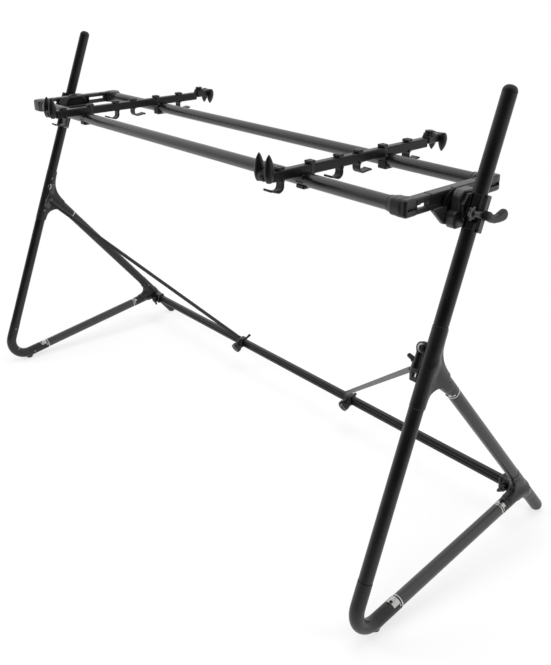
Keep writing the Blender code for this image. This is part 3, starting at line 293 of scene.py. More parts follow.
@dataclass(frozen=True)
class Solid:
    """A shape given by its distance: negative inside, zero on the skin, in metres."""

    distance: Field

    def __or__(self, other: "Solid") -> "Solid":
        """Both shapes together: the smaller of the two distances."""
        return Solid(lambda p: np.minimum(self.distance(p), other.distance(p)))

    def __and__(self, other: "Solid") -> "Solid":
        """What the shapes share: the larger of the two distances."""
        return Solid(lambda p: np.maximum(self.distance(p), other.distance(p)))

    def __sub__(self, other: "Solid") -> "Solid":
        """This shape without the other: the larger of this distance and the other's opposite."""
        return Solid(lambda p: np.maximum(self.distance(p), -other.distance(p)))

    def melt(self, other: "Solid", radius: float) -> "Solid":
        """Both shapes with a fillet between them.

        With h = max(radius - |a - b|, 0) / radius, the distance is min(a, b) - h * h * radius / 4.
        """

        def distance(p: Array) -> Array:
            a, b = self.distance(p), other.distance(p)
            h = np.maximum(radius - np.abs(a - b), 0) / radius
            return np.minimum(a, b) - h * h * radius / 4

        return Solid(distance)

    def carve(self, other: "Solid", radius: float) -> "Solid":
        """This shape without the other, with the edge between them rounded in the same way as melt."""

        def distance(p: Array) -> Array:
            a, b = self.distance(p), -other.distance(p)
            h = np.maximum(radius - np.abs(a - b), 0) / radius
            return np.maximum(a, b) + h * h * radius / 4

        return Solid(distance)

    def grown(self, by: float) -> "Solid":
        """The shape with its skin moved outwards, which also rounds its outer edges."""
        return Solid(lambda p: self.distance(p) - by)

    def skin(self, low: Array, high: Array, step: float) -> Surface:
        """The surface on which the distance is zero.

        The distance is taken on a grid, first on every fourth point and then on each point near the skin.
        Each cell that the skin crosses gets one point, the mean of the crossings on its twelve edges, and
        each grid edge that is crossed gets one face between its four cells. Then each point p moves to
        p - d * g / |g|^2, with d the distance and g its slope, which puts it on the skin.

        Args:
            low: The lowest corner of the space to look at.
            high: Its highest corner.
            step: The width of a cell.

        Returns:
            The closed surface.
        """
        low, high = np.asarray(low, float) - 3 * step, np.asarray(high, float) + 3 * step
        coarse = np.ceil((high - low) / (4 * step)).astype(int) + 1
        counts = coarse * 4
        lines = [low[k] + step * np.arange(counts[k]) for k in range(3)]
        rough = np.stack(np.meshgrid(*[line[::4] for line in lines], indexing="ij"), -1) + 1.5 * step
        far = self.distance(rough.reshape(-1, 3)).reshape(coarse)
        values = far.repeat(4, 0).repeat(4, 1).repeat(4, 2)
        near = np.argwhere(np.abs(values) < 5.0 * step)
        values[tuple(near.T)] = self.distance(low + near * step)
        inside = values < 0
        total = np.zeros(tuple(counts - 1) + (3,))
        hits = np.zeros(tuple(counts - 1))
        faces: list[Array] = []
        for axis in range(3):
            a = np.take(values, range(counts[axis] - 1), axis)
            b = np.take(values, range(1, counts[axis]), axis)
            crossed = np.argwhere((a < 0) != (b < 0))
            at = tuple(crossed.T)
            share = a[at] / (a[at] - b[at])
            others = [k for k in range(3) if k != axis]
            good = ((crossed[:, others] > 0) & (crossed[:, others] < counts[others] - 1)).all(1)
            crossed, share, starts_inside = crossed[good], share[good], inside[tuple(crossed[good].T)]
            place = crossed.astype(float)
            place[:, axis] += share
            corners = []
            for du, dv in ((0, 0), (1, 0), (1, 1), (0, 1)):
                cell = crossed.copy()
                cell[:, others[0]] -= du
                cell[:, others[1]] -= dv
                np.add.at(total, tuple(cell.T), place)
                np.add.at(hits, tuple(cell.T), 1)
                corners.append(np.ravel_multi_index(tuple(cell.T), tuple(counts - 1)))
            quad = np.stack(corners, -1)
            turned = starts_inside if axis != 1 else ~starts_inside
            quad[~turned] = quad[~turned][:, ::-1]
            faces.append(quad)
        used = hits.reshape(-1) > 0
        points = low + step * total.reshape(-1, 3)[used] / hits.reshape(-1)[used][:, None]
        number = np.cumsum(used) - 1
        for _ in range(3):
            points = self.settled(points, step)
        return Surface(points, [number[np.concatenate(faces)]])

    def settled(self, points: Array, step: float) -> Array:
        """The points moved onto the skin along the slope, by at most half a step."""
        reach = 0.25 * step
        shifts = np.concatenate([np.eye(3), -np.eye(3)]) * reach
        around = self.distance((points + shifts[:, None]).reshape(-1, 3)).reshape(6, -1)
        slope = ((around[:3] - around[3:]) / (2 * reach)).T
        size = np.maximum((slope**2).sum(1), 0.25)[:, None]
        move = -self.distance(points)[:, None] * slope / size
        length = np.linalg.norm(move, axis=1)[:, None]
        return points + move * np.minimum(1, 0.5 * step / np.maximum(length, 1e-12))


def rod(start: Array, end: Array, radius: float, edge: float = 0.0006) -> Solid:
    """A round bar between two points, with rounded rims."""
    start, end = np.asarray(start, float), np.asarray(end, float)
    along, half = unit(end - start), np.linalg.norm(end - start) / 2
    middle = (start + end) / 2

    def distance(p: Array) -> Array:
        q = p - middle
        height = q @ along
        across = np.sqrt(np.maximum((q * q).sum(1) - height * height, 0))
        a, b = across - radius + edge, np.abs(height) - half + edge
        return np.minimum(np.maximum(a, b), 0) + np.hypot(np.maximum(a, 0), np.maximum(b, 0)) - edge

    return Solid(distance)


def ball(centre: Array, radius: float) -> Solid:
    """A ball."""
    centre = np.asarray(centre, float)
    return Solid(lambda p: np.linalg.norm(p - centre, axis=1) - radius)


def brick(centre: Array, size: Sequence[float], edge: float, axes: Sequence[Array] | None = None) -> Solid:
    """A block with rounded edges, along the given axes or along X, Y and Z."""
    turn = np.array(axes if axes is not None else np.eye(3))
    centre, half = np.asarray(centre, float), np.asarray(size, float) / 2 - edge

    def distance(p: Array) -> Array:
        q = np.abs((p - centre) @ turn.T) - half
        return np.linalg.norm(np.maximum(q, 0), axis=1) + np.minimum(q.max(1), 0) - edge

    return Solid(distance)


def outline_distance(corners: Array, q: Array) -> Array:
    """The distance of flat points from a closed outline, negative inside it."""
    nearest = np.full(len(q), np.inf)
    inside = np.zeros(len(q), bool)
    for a, b in zip(corners, np.roll(corners, -1, 0)):
        edge, gap = b - a, q - a
        share = np.clip(gap @ edge / (edge @ edge), 0, 1)
        nearest = np.minimum(nearest, ((gap - share[:, None] * edge) ** 2).sum(1))
        between = (a[1] > q[:, 1]) != (b[1] > q[:, 1])
        if edge[1] != 0:
            inside ^= between & (gap[:, 0] < edge[0] * gap[:, 1] / edge[1])
    return np.where(inside, -1, 1) * np.sqrt(nearest)


def slab(outline: Array, origin: Array, first: Array, second: Array, thickness: float, edge: float) -> Solid:
    """A plate with any outline and rounded edges.

    Args:
        outline: Corners (n, 2), measured along the first and second directions.
        origin: The place of the outline's origin, in the middle of the thickness.
        first: The direction of the outline's first number.
        second: The direction of its second number.
        thickness: The plate's thickness.
        edge: The radius of its edges.

    Returns:
        The solid.
    """
    outline, origin = np.asarray(outline, float), np.asarray(origin, float)
    flat = np.stack([first, second])
    normal = np.cross(first, second)

    def distance(p: Array) -> Array:
        q = p - origin
        a = outline_distance(outline, q @ flat.T) + edge
        b = np.abs(q @ normal) - thickness / 2 + edge
        return np.minimum(np.maximum(a, b), 0) + np.hypot(np.maximum(a, 0), np.maximum(b, 0)) - edge

    return Solid(distance)


def path_distance(path: Array, q: Array) -> Array:
    """The distance of points from an open line through the path's points, in two or three dimensions."""
    nearest = np.full(len(q), np.inf)
    for a, b in zip(path[:-1], path[1:]):
        edge, gap = b - a, q - a
        share = np.clip(gap @ edge / (edge @ edge), 0, 1)
        nearest = np.minimum(nearest, ((gap - share[:, None] * edge) ** 2).sum(1))
    return np.sqrt(nearest)


def strip(path: Array, origin: Array, first: Array, second: Array, wall: float, width: float, edge: float) -> Solid:
    """A band of constant wall bent along a flat path, with rounded edges."""
    flat = np.stack([first, second])
    normal = np.cross(first, second)
    origin = np.asarray(origin, float)

    def distance(p: Array) -> Array:
        q = p - origin
        a = path_distance(path, q @ flat.T) - wall / 2 + edge
        b = np.abs(q @ normal) - width / 2 + edge
        return np.minimum(np.maximum(a, b), 0) + np.hypot(np.maximum(a, 0), np.maximum(b, 0)) - edge

    return Solid(distance)


def spire(foot: Array, tip: Array, across: float, along: float) -> Solid:
    """A leaf with an oval section, pointed at the tip and drawn in at the foot.

    With h from 0 at the foot to 1 at the tip, the section's half-widths are the given ones times
    2.18 * (1 - h) ** 0.75 * (h + 0.05) ** 0.5. Across is along X.
    """
    foot, tip = np.asarray(foot, float), np.asarray(tip, float)
    length, axis = float(np.linalg.norm(tip - foot)), unit(tip - foot)
    side = np.cross(axis, X_AXIS)

    def distance(p: Array) -> Array:
        q = p - foot
        h = q @ axis / length
        inside = np.clip(h, 0.0, 0.995)
        share = 2.18 * (1 - inside) ** 0.75 * (inside + 0.05) ** 0.5
        oval = np.hypot(q[:, 0] / across, q @ side / along)
        return np.maximum((oval - share) * min(across, along) * 0.9, np.maximum(-h, h - 1) * length)

    return Solid(distance)


def half_space(point: Array, normal: Array) -> Solid:
    """Everything behind a plane."""
    point, normal = np.asarray(point, float), unit(normal)
    return Solid(lambda p: (p - point) @ normal)


# ---------------------------------------------------------------------------------------------------------
# Shader trees


@dataclass
class Wire:
    """A socket of a shader tree, on which arithmetic adds Math nodes."""

    tree: "ShaderTree"
    socket: Any

    def _math(self, operation: str, first: Any, second: Any) -> "Wire":
        """A Math node on two values."""
        return self.tree.node("ShaderNodeMath", {"operation": operation}, {0: first, 1: second})

    def __add__(self, other: Any) -> "Wire":
        """The sum."""
        return self._math("ADD", self, other)

    def __sub__(self, other: Any) -> "Wire":
        """The difference."""
        return self._math("SUBTRACT", self, other)

    def __mul__(self, other: Any) -> "Wire":
        """The product."""
        return self._math("MULTIPLY", self, other)

    def __rsub__(self, other: Any) -> "Wire":
        """The other value less this one."""
        return self._math("SUBTRACT", other, self)

    __radd__ = __add__
    __rmul__ = __mul__

    def __pow__(self, other: Any) -> "Wire":
        """This value raised to a power."""
        return self._math("POWER", self, other)

    def between(self, low: float, high: float) -> "Wire":
        """A smooth step from 0 at the low value to 1 at the high one."""
        settings = {"interpolation_type": "SMOOTHSTEP"}
        return self.tree.node("ShaderNodeMapRange", settings, {"Value": self, "From Min": low, "From Max": high})


class ShaderTree:
    """Builds the node tree of one material."""

    def __init__(self, name: str, world: bool = False) -> None:
        """Starts an empty material, or the scene's world, of the given name."""
        self.material = bpy.data.worlds.new(name) if world else bpy.data.materials.new(name)
        if world:
            bpy.context.scene.world = self.material
        self.material.use_nodes = True
        self.nodes = self.material.node_tree.nodes
        self.links = self.material.node_tree.links
        self.nodes.clear()

    def node(self, kind: str, settings: dict[str, Any] | None = None, inputs: dict[Any, Any] | None = None,
             output: Any = 0) -> Wire:
        """Adds a node.

        Args:
            kind: The node's type.
            settings: Its properties, set first. "stops" holds a ramp's (place, grey) pairs.
            inputs: Values or wires by the name or number of the socket.
            output: The name or number of the socket to return.

        Returns:
            The wire from that output.
        """
        made = self.nodes.new(kind)
        for key, value in (settings or {}).items():
            if key == "stops":
                ramp = made.color_ramp
                while len(ramp.elements) < len(value):
                    ramp.elements.new(1.0)
                for element, (place, grey) in zip(ramp.elements, value):
                    element.position, element.color = place, (grey, grey, grey, 1)
            else:
                setattr(made, key, value)
        for key, value in (inputs or {}).items():
            socket = made.inputs[key]
            if isinstance(value, Wire):
                self.links.new(value.socket, socket)
            else:
                socket.default_value = value
        return Wire(self, made.outputs[output])

    def place(self) -> Wire:
        """Object coordinates, in metres."""
        return self.node("ShaderNodeTexCoord", output="Object")

    def stretched(self, scale: tuple[float, float, float], turn: tuple[float, float, float] = (0, 0, 0)) -> Wire:
        """Object coordinates turned and scaled."""
        return self.node("ShaderNodeMapping", {}, {"Vector": self.place(), "Scale": scale, "Rotation": turn})

    def noise(self, scale: float, detail: float = 3.0, roughness: float = 0.55, vector: Wire | None = None) -> Wire:
        """Cloudy noise from 0 to 1, with its patches 1 / scale metres wide."""
        inputs = {"Vector": vector or self.place(), "Scale": scale, "Detail": detail, "Roughness": roughness}
        return self.node("ShaderNodeTexNoise", {}, inputs, "Fac")

    def mix(self, share: Any, first: Any, second: Any) -> Wire:
        """A mix of two colours."""
        made = self.node("ShaderNodeMix", {"data_type": "RGBA"}, {0: share, 6: first, 7: second}, 2)
        return made

    def bump(self, height: Wire, distance: float, strength: float = 1.0) -> Wire:
        """A Bump node: the height runs from 0 to 1 over the distance."""
        return self.node("ShaderNodeBump", {}, {"Height": height, "Distance": distance, "Strength": strength})

    def finish(self, sockets: dict[str, Any]) -> bpy.types.Material:
        """Adds the shader with the given sockets, and returns the material."""
        shader = self.node("ShaderNodeBsdfPrincipled", {}, sockets, "BSDF")
        self.node_output = self.nodes.new("ShaderNodeOutputMaterial")
        self.links.new(shader.socket, self.node_output.inputs["Surface"])
        return self.material


def grey(level: float, warmth: float = 0.0) -> tuple[float, float, float, float]:
    """A colour near grey: the level, warmer by the share given."""
    return (level * (1 + warmth), level, level * (1 - warmth), 1.0)


# ---------------------------------------------------------------------------------------------------------
# Finishes


@dataclass(frozen=True)
class Paint:
    """Satin black paint on metal: orange peel, faint clouds of gloss, and rubbed fine scratches."""

    name: str
    slot: str
    level: float
    roughness: float
    peel: float = 0.00003
    peel_scale: float = 700.0
    scratches: float = 0.35
    rub: float = 0.5
    metallic: float = 0.0
    coat: float = 0.0
    ior: float = 1.45
    warmth: float = 0.02

    def material(self) -> bpy.types.Material:
        """The paint's material.

        The colour is the base level, lighter by a quarter in broad clouds and along thin scratches. The
        roughness follows the same clouds, and the bump is the fine peel of sprayed paint.
        """
        tree = ShaderTree(self.name)
        clouds = tree.noise(22.0, 4.0)
        fine = tree.noise(self.peel_scale, 2.0)
        streak = tree.noise(1.0, 2.0, 0.6, tree.stretched((900.0, 900.0, 60.0), (0.35, 0.2, 0.0)))
        scratch = streak.between(0.70, 0.76) * clouds.between(0.5, 0.62) * self.scratches
        dust = tree.noise(260.0, 5.0, 0.7).between(0.62, 0.8) * 0.25
        share = clouds.between(0.3, 0.7) * 0.25 + scratch * self.rub + dust * 0.4
        dark, light = grey(self.level * 0.85, self.warmth), grey(self.level * 1.9 + 0.01, self.warmth)
        colour = tree.mix(share, dark, light)
        rough = clouds * 0.10 + fine * 0.05 + dust * 0.2 + (self.roughness - 0.08)
        bump = tree.bump(fine * 0.8 + scratch * 0.4, self.peel)
        return tree.finish({"Base Color": colour, "Roughness": rough, "Normal": bump, "Metallic": self.metallic,
                            "IOR": self.ior, "Coat Weight": self.coat, "Coat Roughness": 0.2})


@dataclass(frozen=True)
class Cast:
    """Painted cast metal: a fine pitted skin, paint thinned on the high edges."""

    name: str
    slot: str
    level: float
    roughness: float
    pits: float = 0.00006
    warmth: float = 0.015
    ior: float = 1.45

    def material(self) -> bpy.types.Material:
        """The casting's material.

        The pointiness of the mesh, stepped from 0.52 to 0.58, lightens the edges where hands rub them. Two
        noises, of 1 mm and 3 mm, make the pitted skin, and clouds of 40 mm vary its gloss.
        """
        tree = ShaderTree(self.name)
        edge = tree.node("ShaderNodeNewGeometry", output="Pointiness").between(0.52, 0.60)
        clouds = tree.noise(25.0, 4.0)
        pits = tree.noise(1000.0, 3.0)
        lumps = tree.noise(330.0, 2.0)
        share = edge * 0.30 * clouds.between(0.35, 0.6) + clouds.between(0.3, 0.75) * 0.22
        colour = tree.mix(share, grey(self.level * 0.85, self.warmth), grey(self.level * 2.2 + 0.01, self.warmth))
        rough = clouds * 0.12 + pits * 0.08 + (self.roughness - 0.1) - edge * 0.05
        bump = tree.bump(pits * 0.6 + lumps * 0.4, self.pits)
        return tree.finish({"Base Color": colour, "Roughness": rough, "Normal": bump, "IOR": self.ior})


@dataclass(frozen=True)
class Moulding:
    """Moulded black plastic: fine spark-eroded grain, slightly polished where it is handled."""

    name: str
    slot: str
    level: float
    roughness: float
    grain: float = 0.00005
    grain_scale: float = 1400.0
    ior: float = 1.46
    warmth: float = 0.0

    def material(self) -> bpy.types.Material:
        """The plastic's material.

        A voronoi pattern of 0.7 mm cells under noise makes the grain. Edges, found by the pointiness, are a
        little lighter and smoother, and dust lies in broad patches.
        """
        tree = ShaderTree(self.name)
        edge = tree.node("ShaderNodeNewGeometry", output="Pointiness").between(0.52, 0.62)
        clouds = tree.noise(45.0, 3.0)
        cells = tree.node("ShaderNodeTexVoronoi", {"feature": "SMOOTH_F1"},
                          {"Vector": tree.place(), "Scale": self.grain_scale, "Smoothness": 0.6}, "Distance")
        dust = tree.noise(180.0, 5.0, 0.7).between(0.55, 0.8)
        share = edge * 0.35 + dust * 0.10 + clouds.between(0.35, 0.7) * 0.15
        colour = tree.mix(share, grey(self.level * 0.85, self.warmth), grey(self.level * 2.0 + 0.006, self.warmth))
        rough = clouds * 0.10 + cells * 0.08 + dust * 0.08 + (self.roughness - 0.1) - edge * 0.08
        bump = tree.bump(cells * 0.7 + tree.noise(500.0, 2.0) * 0.3, self.grain)
        return tree.finish({"Base Color": colour, "Roughness": rough, "Normal": bump, "IOR": self.ior})


@dataclass(frozen=True)
class BareMetal:
    """Bare turned or ground metal, with fine lines and a little tarnish."""

    name: str
    slot: str
    colour: Colour
    roughness: float
    lines: tuple[float, float, float] = (300.0, 300.0, 4000.0)
    depth: float = 0.00003

    def material(self) -> bpy.types.Material:
        """The metal's material: stretched noise for the lines, and clouds of tarnish in colour and gloss."""
        tree = ShaderTree(self.name)
        lines = tree.noise(1.0, 3.0, 0.6, tree.stretched(self.lines))
        clouds = tree.noise(120.0, 4.0)
        stain = clouds.between(0.45, 0.75) * 0.5
        dark = tuple(0.6 * c for c in self.colour) + (1.0,)
        colour = tree.mix(stain, self.colour + (1.0,), dark)
        rough = lines * 0.12 + stain * 0.15 + (self.roughness - 0.06)
        return tree.finish({"Base Color": colour, "Roughness": rough, "Normal": tree.bump(lines, self.depth),
                            "Metallic": 1.0})


BLACK_TUBE = Paint("satin_black_tube", "black_tube", 0.0045, 0.33)
WARM_TUBE = Paint("satin_black_floor_tube", "black_tube", 0.006, 0.30, warmth=0.06, ior=1.7)
BLACK_RAIL = Paint("semi_gloss_rail", "black_rail", 0.006, 0.27, peel=0.00002, ior=1.75)
CROSSBAR_PAINT = Paint("painted_profile", "black_rail", 0.008, 0.38)
BLACK_CAST = Cast("painted_casting", "black_casting", 0.007, 0.37)
BED_CAST = Cast("painted_bed_bar", "black_casting", 0.009, 0.34, ior=1.50)
# A grey about three times lighter than the other black castings, which is painted light: it lightens the tilt drums,
# gussets, jaws, flanges and brace brackets as if lit, so that they stand out from the black parts round them.
PAINTED_LIGHT_CAST = Cast("painted_tilt_drum", "black_plastic", 0.024, 0.36, ior=1.65)
ARM_PAINT = Paint("satin_arm_bar", "black_plastic", 0.0035, 0.32, peel=0.00002, ior=1.33)
# A darker, duller copy of the moulded plastic, which is painted shade: it darkens the tilt disc in its recess beside
# the side bar, and the post collar, as if they lay in shadow.
PAINTED_SHADE_PLASTIC = Moulding("matt_collar", "black_plastic", 0.003, 0.60, ior=1.30)
BLACK_PLASTIC = Moulding("moulded_plastic", "black_plastic", 0.0045, 0.38)
SOFT_PLASTIC = Moulding("soft_touch_plastic", "black_plastic", 0.004, 0.48, 0.00008, 900.0)
RUBBER = Moulding("black_rubber", "black_plastic", 0.006, 0.68, 0.0001, 700.0)
GREY_BRACE = Paint("satin_brace_paint", "grey_steel", 0.010, 0.34, warmth=0.0)
# A near-white paint, which is a painted reflection: it gives the washer in the bracket's head the bright crescent that
# a shiny ring would show, even in the shade of the bowl.
PAINTED_GLINT_RING = Paint("pale_ring", "grey_steel", 0.55, 0.34)
SILVER = BareMetal("turned_aluminium", "grey_steel", (0.52, 0.52, 0.51), 0.30)
ZINC = BareMetal("zinc_screw", "grey_steel", (0.26, 0.26, 0.255), 0.34)
DARK_SCREW = BareMetal("blackened_screw", "black_casting", (0.06, 0.06, 0.065), 0.34)

Finish = Paint | Cast | Moulding | BareMetal
_MADE: dict[str, bpy.types.Material] = {}


def material_of(finish: Finish) -> bpy.types.Material:
    """The finish's material, made at its first use."""
    if finish.name not in _MADE:
        _MADE[finish.name] = finish.material()
    return _MADE[finish.name]


# ---------------------------------------------------------------------------------------------------------
# Pieces


def piece(name: str, surface: Surface, finish: Finish, body: str, nodes: Sequence[str] = (),
          sharp: float = 38.0) -> bpy.types.Object:
    """Makes one piece of the stand from a surface.

    Args:
        name: The piece's name.
        surface: Its shape, in the stand's frame.
        finish: What it is made of.
        body: The body that it rides on.
        nodes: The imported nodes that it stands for.
        sharp: Edges that turn by more than this many degrees stay sharp.

    Returns:
        The object, at the origin.
    """
    mesh = bpy.data.meshes.new(name)
    faces = [row.tolist() for group in surface.faces for row in group]
    mesh.from_pydata(surface.points.tolist(), [], faces)
    mesh.validate()
    mesh.shade_smooth()
    mesh.set_sharp_from_angle(angle=math.radians(sharp))
    made = bpy.data.objects.new(name, mesh)
    bpy.context.scene.collection.objects.link(made)
    made.data.materials.append(material_of(finish))
    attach(made, body)
    if nodes:
        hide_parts(*nodes)
    LOG.info("%s: %d faces, body %s%s", name, len(faces), body, ", for " + ", ".join(nodes) if nodes else "")
    return made


def pair(words: str, surface: Surface, finish: Finish, body: str, nodes: Sequence[str] = (),
         sharp: float = 38.0) -> None:
    """Makes a piece and its mirror image.

    Args:
        words: The start of the pieces' names.
        surface: The right piece's shape.
        finish: What they are made of.
        body: The body that they ride on, without the side.
        nodes: The nodes that they stand for, without the side.
        sharp: Edges that turn by more than this many degrees stay sharp.
    """
    for side in Side:
        rides = body if body in ("base", "carriage", "bed") else f"{body}_{side.label}"
        piece(f"{words}_{side.label}", surface.on(side), finish, rides, [f"{node}_{side.label}" for node in nodes],
              sharp)


def even(made: bpy.types.Object) -> bpy.types.Object:
    """Weights a piece's normals by the size of its faces, so that flat faces look flat."""
    modifier = made.modifiers.new("even_normals", "WEIGHTED_NORMAL")
    modifier.keep_sharp = True
    modifier.weight = 80
    return made


# ---------------------------------------------------------------------------------------------------------
# The side frames


def flat_axes(angle: float) -> tuple[Array, Array]:
    """A direction in the YZ plane, and the one at 90 degrees to it, from an angle measured from +Y to +Z."""
    return turn_about(angle), turn_about(angle + math.pi / 2)


def fillet_outline(first: Array, second: Array, offset: float, radius: float, steps: int = 14) -> Array:
    """The web between two round branches that leave the origin of the YZ plane.

    The outline goes from the first branch's axis along an arc that touches both outer sides, which lie at
    the offset from the axes, to the second branch's axis, and back to the corner.
    """
    half = math.acos(float(np.clip(first @ second, -1, 1))) / 2
    middle = unit(first + second)
    centre = middle * (offset + radius) / math.sin(half)
    reach = (offset + radius) / math.tan(half)
    start, end = first * reach - centre, second * reach - centre
    low = math.atan2(start[2], start[1])
    sweep = (math.atan2(end[2], end[1]) - low + math.pi) % (2 * math.pi) - math.pi
    curve = arc_points((centre[1], centre[2]), radius, low, low + sweep, steps)
    return np.concatenate([[(first * reach)[1:]], curve, [(second * reach)[1:], (0.0, 0.0)]])


@dataclass
class SideFrames:
    """The leaning side frames: post, Y-shaped casting, tubes, elbow and rear foot, with bright rings between."""

    half_span: float = 0.684
    middle: float = 0.299861
    lean: float = math.radians(20.37)
    leg_lean: float = math.radians(39.92)
    floor_rise: float = math.radians(8.63)
    main_radius: float = 0.0127
    leg_radius: float = 0.0122
    casting_step: float = 0.0004
    wall: float = 0.0016
    upper_seam: float = 0.5411
    lower_seam: float = 0.4088
    elbow_seam: float = 0.1201
    post_top: float = 0.9137
    branch_length: float = 0.098
    neck: float = 0.009
    bend_radius: float = 0.045
    elbow_reach: float = -0.17396
    socket_length: float = 0.079
    sleeve_length: float = 0.072
    toe_height: float = 0.0120
    pad_radius: float = 0.0085
    pad_y: float = -0.22536
    web: float = 0.014
    ring_width: float = 0.0034
    tongue: tuple[float, float, float] = (0.015, 0.023, 0.0155)
    step: float = 0.0009
    corner: Array = field(default_factory=lambda: np.array([0.684, -0.29778, 0.00562]))
    upper: Array = field(default_factory=lambda: np.array([0.684, -0.12024, 0.48377]))
    foot: Array = field(default_factory=lambda: np.array([0.684, 0.21475, 0.0834]))

    def __post_init__(self) -> None:
        """Works out the directions of the three lines."""
        self.up = np.array([0, math.sin(self.lean), math.cos(self.lean)])
        self.leg = np.array([0, math.sin(self.leg_lean), -math.cos(self.leg_lean)])
        self.floor = np.array([0, math.cos(self.floor_rise), math.sin(self.floor_rise)])
        self.cast_radius = self.main_radius + self.casting_step
        self.foot_radius = self.leg_radius + self.casting_step

    def main(self, height: float) -> Array:
        """The point of the main line at a height."""
        return np.array([self.half_span, height * math.tan(self.lean) - self.middle, height])

    def put(self, words: str, surface: Surface, finish: Finish, *nodes: str, sharp: float = 38.0) -> None:
        """Makes a piece of the base on both sides."""
        pair(words, surface, finish, "base", nodes, sharp)

    def tube(self, words: str, start: Array, end: Array, radius: float, finish: Finish, node: str) -> None:
        """A painted tube with slightly rolled rims."""
        length, lip = float(np.linalg.norm(end - start)), 0.0005
        profile = [(radius - self.wall, 0), (radius - lip, 0), (radius, lip), (radius, length - lip),
                   (radius - lip, length), (radius - self.wall, length), (radius - self.wall, 0)]
        self.put(words, lathe(profile, start, end - start), finish, node)

    def seam(self, words: str, at: Array, along: Array, radius: float) -> None:
        """The dark recessed line where a tube meets a casting."""
        inner, half = radius - 0.0008, 0.0011
        profile = [(inner - 0.002, -half), (inner, -half), (inner, half), (inner - 0.002, half),
                   (inner - 0.002, -half)]
        self.put(words, lathe(profile, at, along), RUBBER)

    def post(self) -> None:
        """The post tube with its moulded cap."""
        gap = 0.0009
        start, top = self.main(self.upper_seam) + self.up * gap, self.main(self.post_top)
        dome, rim = 0.0102, 0.0125
        self.tube("post", start, top - self.up * rim, self.main_radius, BLACK_TUBE, "post_tube")
        bend = np.linspace(0, np.pi / 2, 10)
        side_line = [(self.main_radius - 0.00015, 0.0004), (self.main_radius - 0.00005, rim - dome)]
        round_top = [(self.main_radius * math.cos(a) ** 0.72, rim - dome + dome * math.sin(a) ** 1.25)
                     for a in bend[1:-1]]
        profile = [(0, 0.0004)] + side_line + round_top + [(0.0, rim)]
        self.put("post_cap", lathe(profile, top - self.up * rim, self.up), SOFT_PLASTIC)

    def lap(self, body: Solid, at: Array, inwards: Array, bright: Array, tongue: float, depth: float) -> Solid:
        """Cuts a casting back on one side, where the bright spigot shows.

        Args:
            body: The casting.
            at: Where the painted tube starts, on the axis.
            inwards: The direction along the axis into the casting.
            bright: The direction at right angles to it in which the spigot shows.
            tongue: How far the cut goes in.
            depth: How far from the axis the cut's flat side is.

        Returns:
            The casting without that side.
        """
        first = np.cross(inwards, bright)
        centre = at + inwards * (tongue / 2 - 0.004) + bright * (depth + 0.01)
        body = body.carve(brick(centre, (0.06, 0.02, tongue + 0.008), 0.001, (first, bright, inwards)), 0.0012)
        for turn in (-1, 1):
            notch = at + inwards * (self.ring_width + 0.0022) + first * turn * self.foot_radius + bright * (depth - 0.0035)
            body = body.carve(brick(notch, (0.014, 0.0050, 0.0056), 0.0012, (first, bright, inwards)), 0.0008)
        screw = at + inwards * tongue + bright * (self.foot_radius - 0.001)
        return body.carve(rod(screw - bright * 0.004, screw + bright * 0.004, 0.0038), 0.001)

    def spigot(self, words: str, at: Array, inwards: Array, bright: Array, tongue: float) -> None:
        """The bright ring and tongue between a tube and a casting, with the groove and the screw in it."""
        radius, width = self.foot_radius + 0.0001, self.ring_width
        core, groove = radius - 0.0006, radius - 0.0026
        profile = [(radius - 0.004, 0.0001), (radius - 0.0005, 0.0001), (radius, 0.0006), (radius, width - 0.0006),
                   (radius - 0.0005, width), (groove, width + 0.0004), (groove, width + 0.0018), (core, width + 0.0022),
                   (core, tongue - 0.001), (core - 0.001, tongue), (radius - 0.004, tongue), (radius - 0.004, 0.0001)]
        self.put("ring_" + words, lathe(profile, at, inwards), SILVER)
        lining = [(groove - 0.001, width + 0.0003), (groove + 0.0003, width + 0.0003), (groove + 0.0003, width + 0.0019),
                  (groove - 0.001, width + 0.0019), (groove - 0.001, width + 0.0003)]
        self.put("ring_gap_" + words, lathe(lining, at, inwards), RUBBER)
        head = at + inwards * (tongue - 0.004) + bright * (core - 0.0006)
        self.put("ring_screw_" + words, screw_head(head, bright, 0.0031, 0.0020), DARK_SCREW)

    def marks(self, body: Solid, places: Sequence[tuple[float, float]], reach: float) -> Solid:
        """Small round dimples on the outer face, at places given by Y and Z."""
        for y, z in places:
            at = np.array([self.half_span + reach, y, z])
            body = body.carve(rod(at - X_AXIS * 0.0007, at + X_AXIS * 0.004, 0.0016, 0.0003), 0.0006)
        return body

    def screws(self, words: str, body: Solid, places: Sequence[tuple[float, float]], reach: float) -> Solid:
        """Countersunk screws on the inner face, at places given by Y and Z, and the casting with their seats."""
        heads = []
        for y, z in places:
            at = np.array([self.half_span - reach, y, z])
            body = body.carve(rod(at - X_AXIS * 0.004, at + X_AXIS * 0.0016, 0.0036, 0.0004), 0.0006)
            heads.append(screw_head(at + X_AXIS * 0.0015, -X_AXIS, 0.0030, 0.0017))
        self.put(words, joined(heads), ZINC)
        return body

    def plate_between(self, at: Array, first: Array, second: Array, radius: float) -> Solid:
        """The web between two branches of a casting."""
        outline = fillet_outline(first, second, self.foot_radius - 0.0010, radius)
        return slab(outline, at, Y_AXIS, Z_AXIS, self.web, 0.0025)

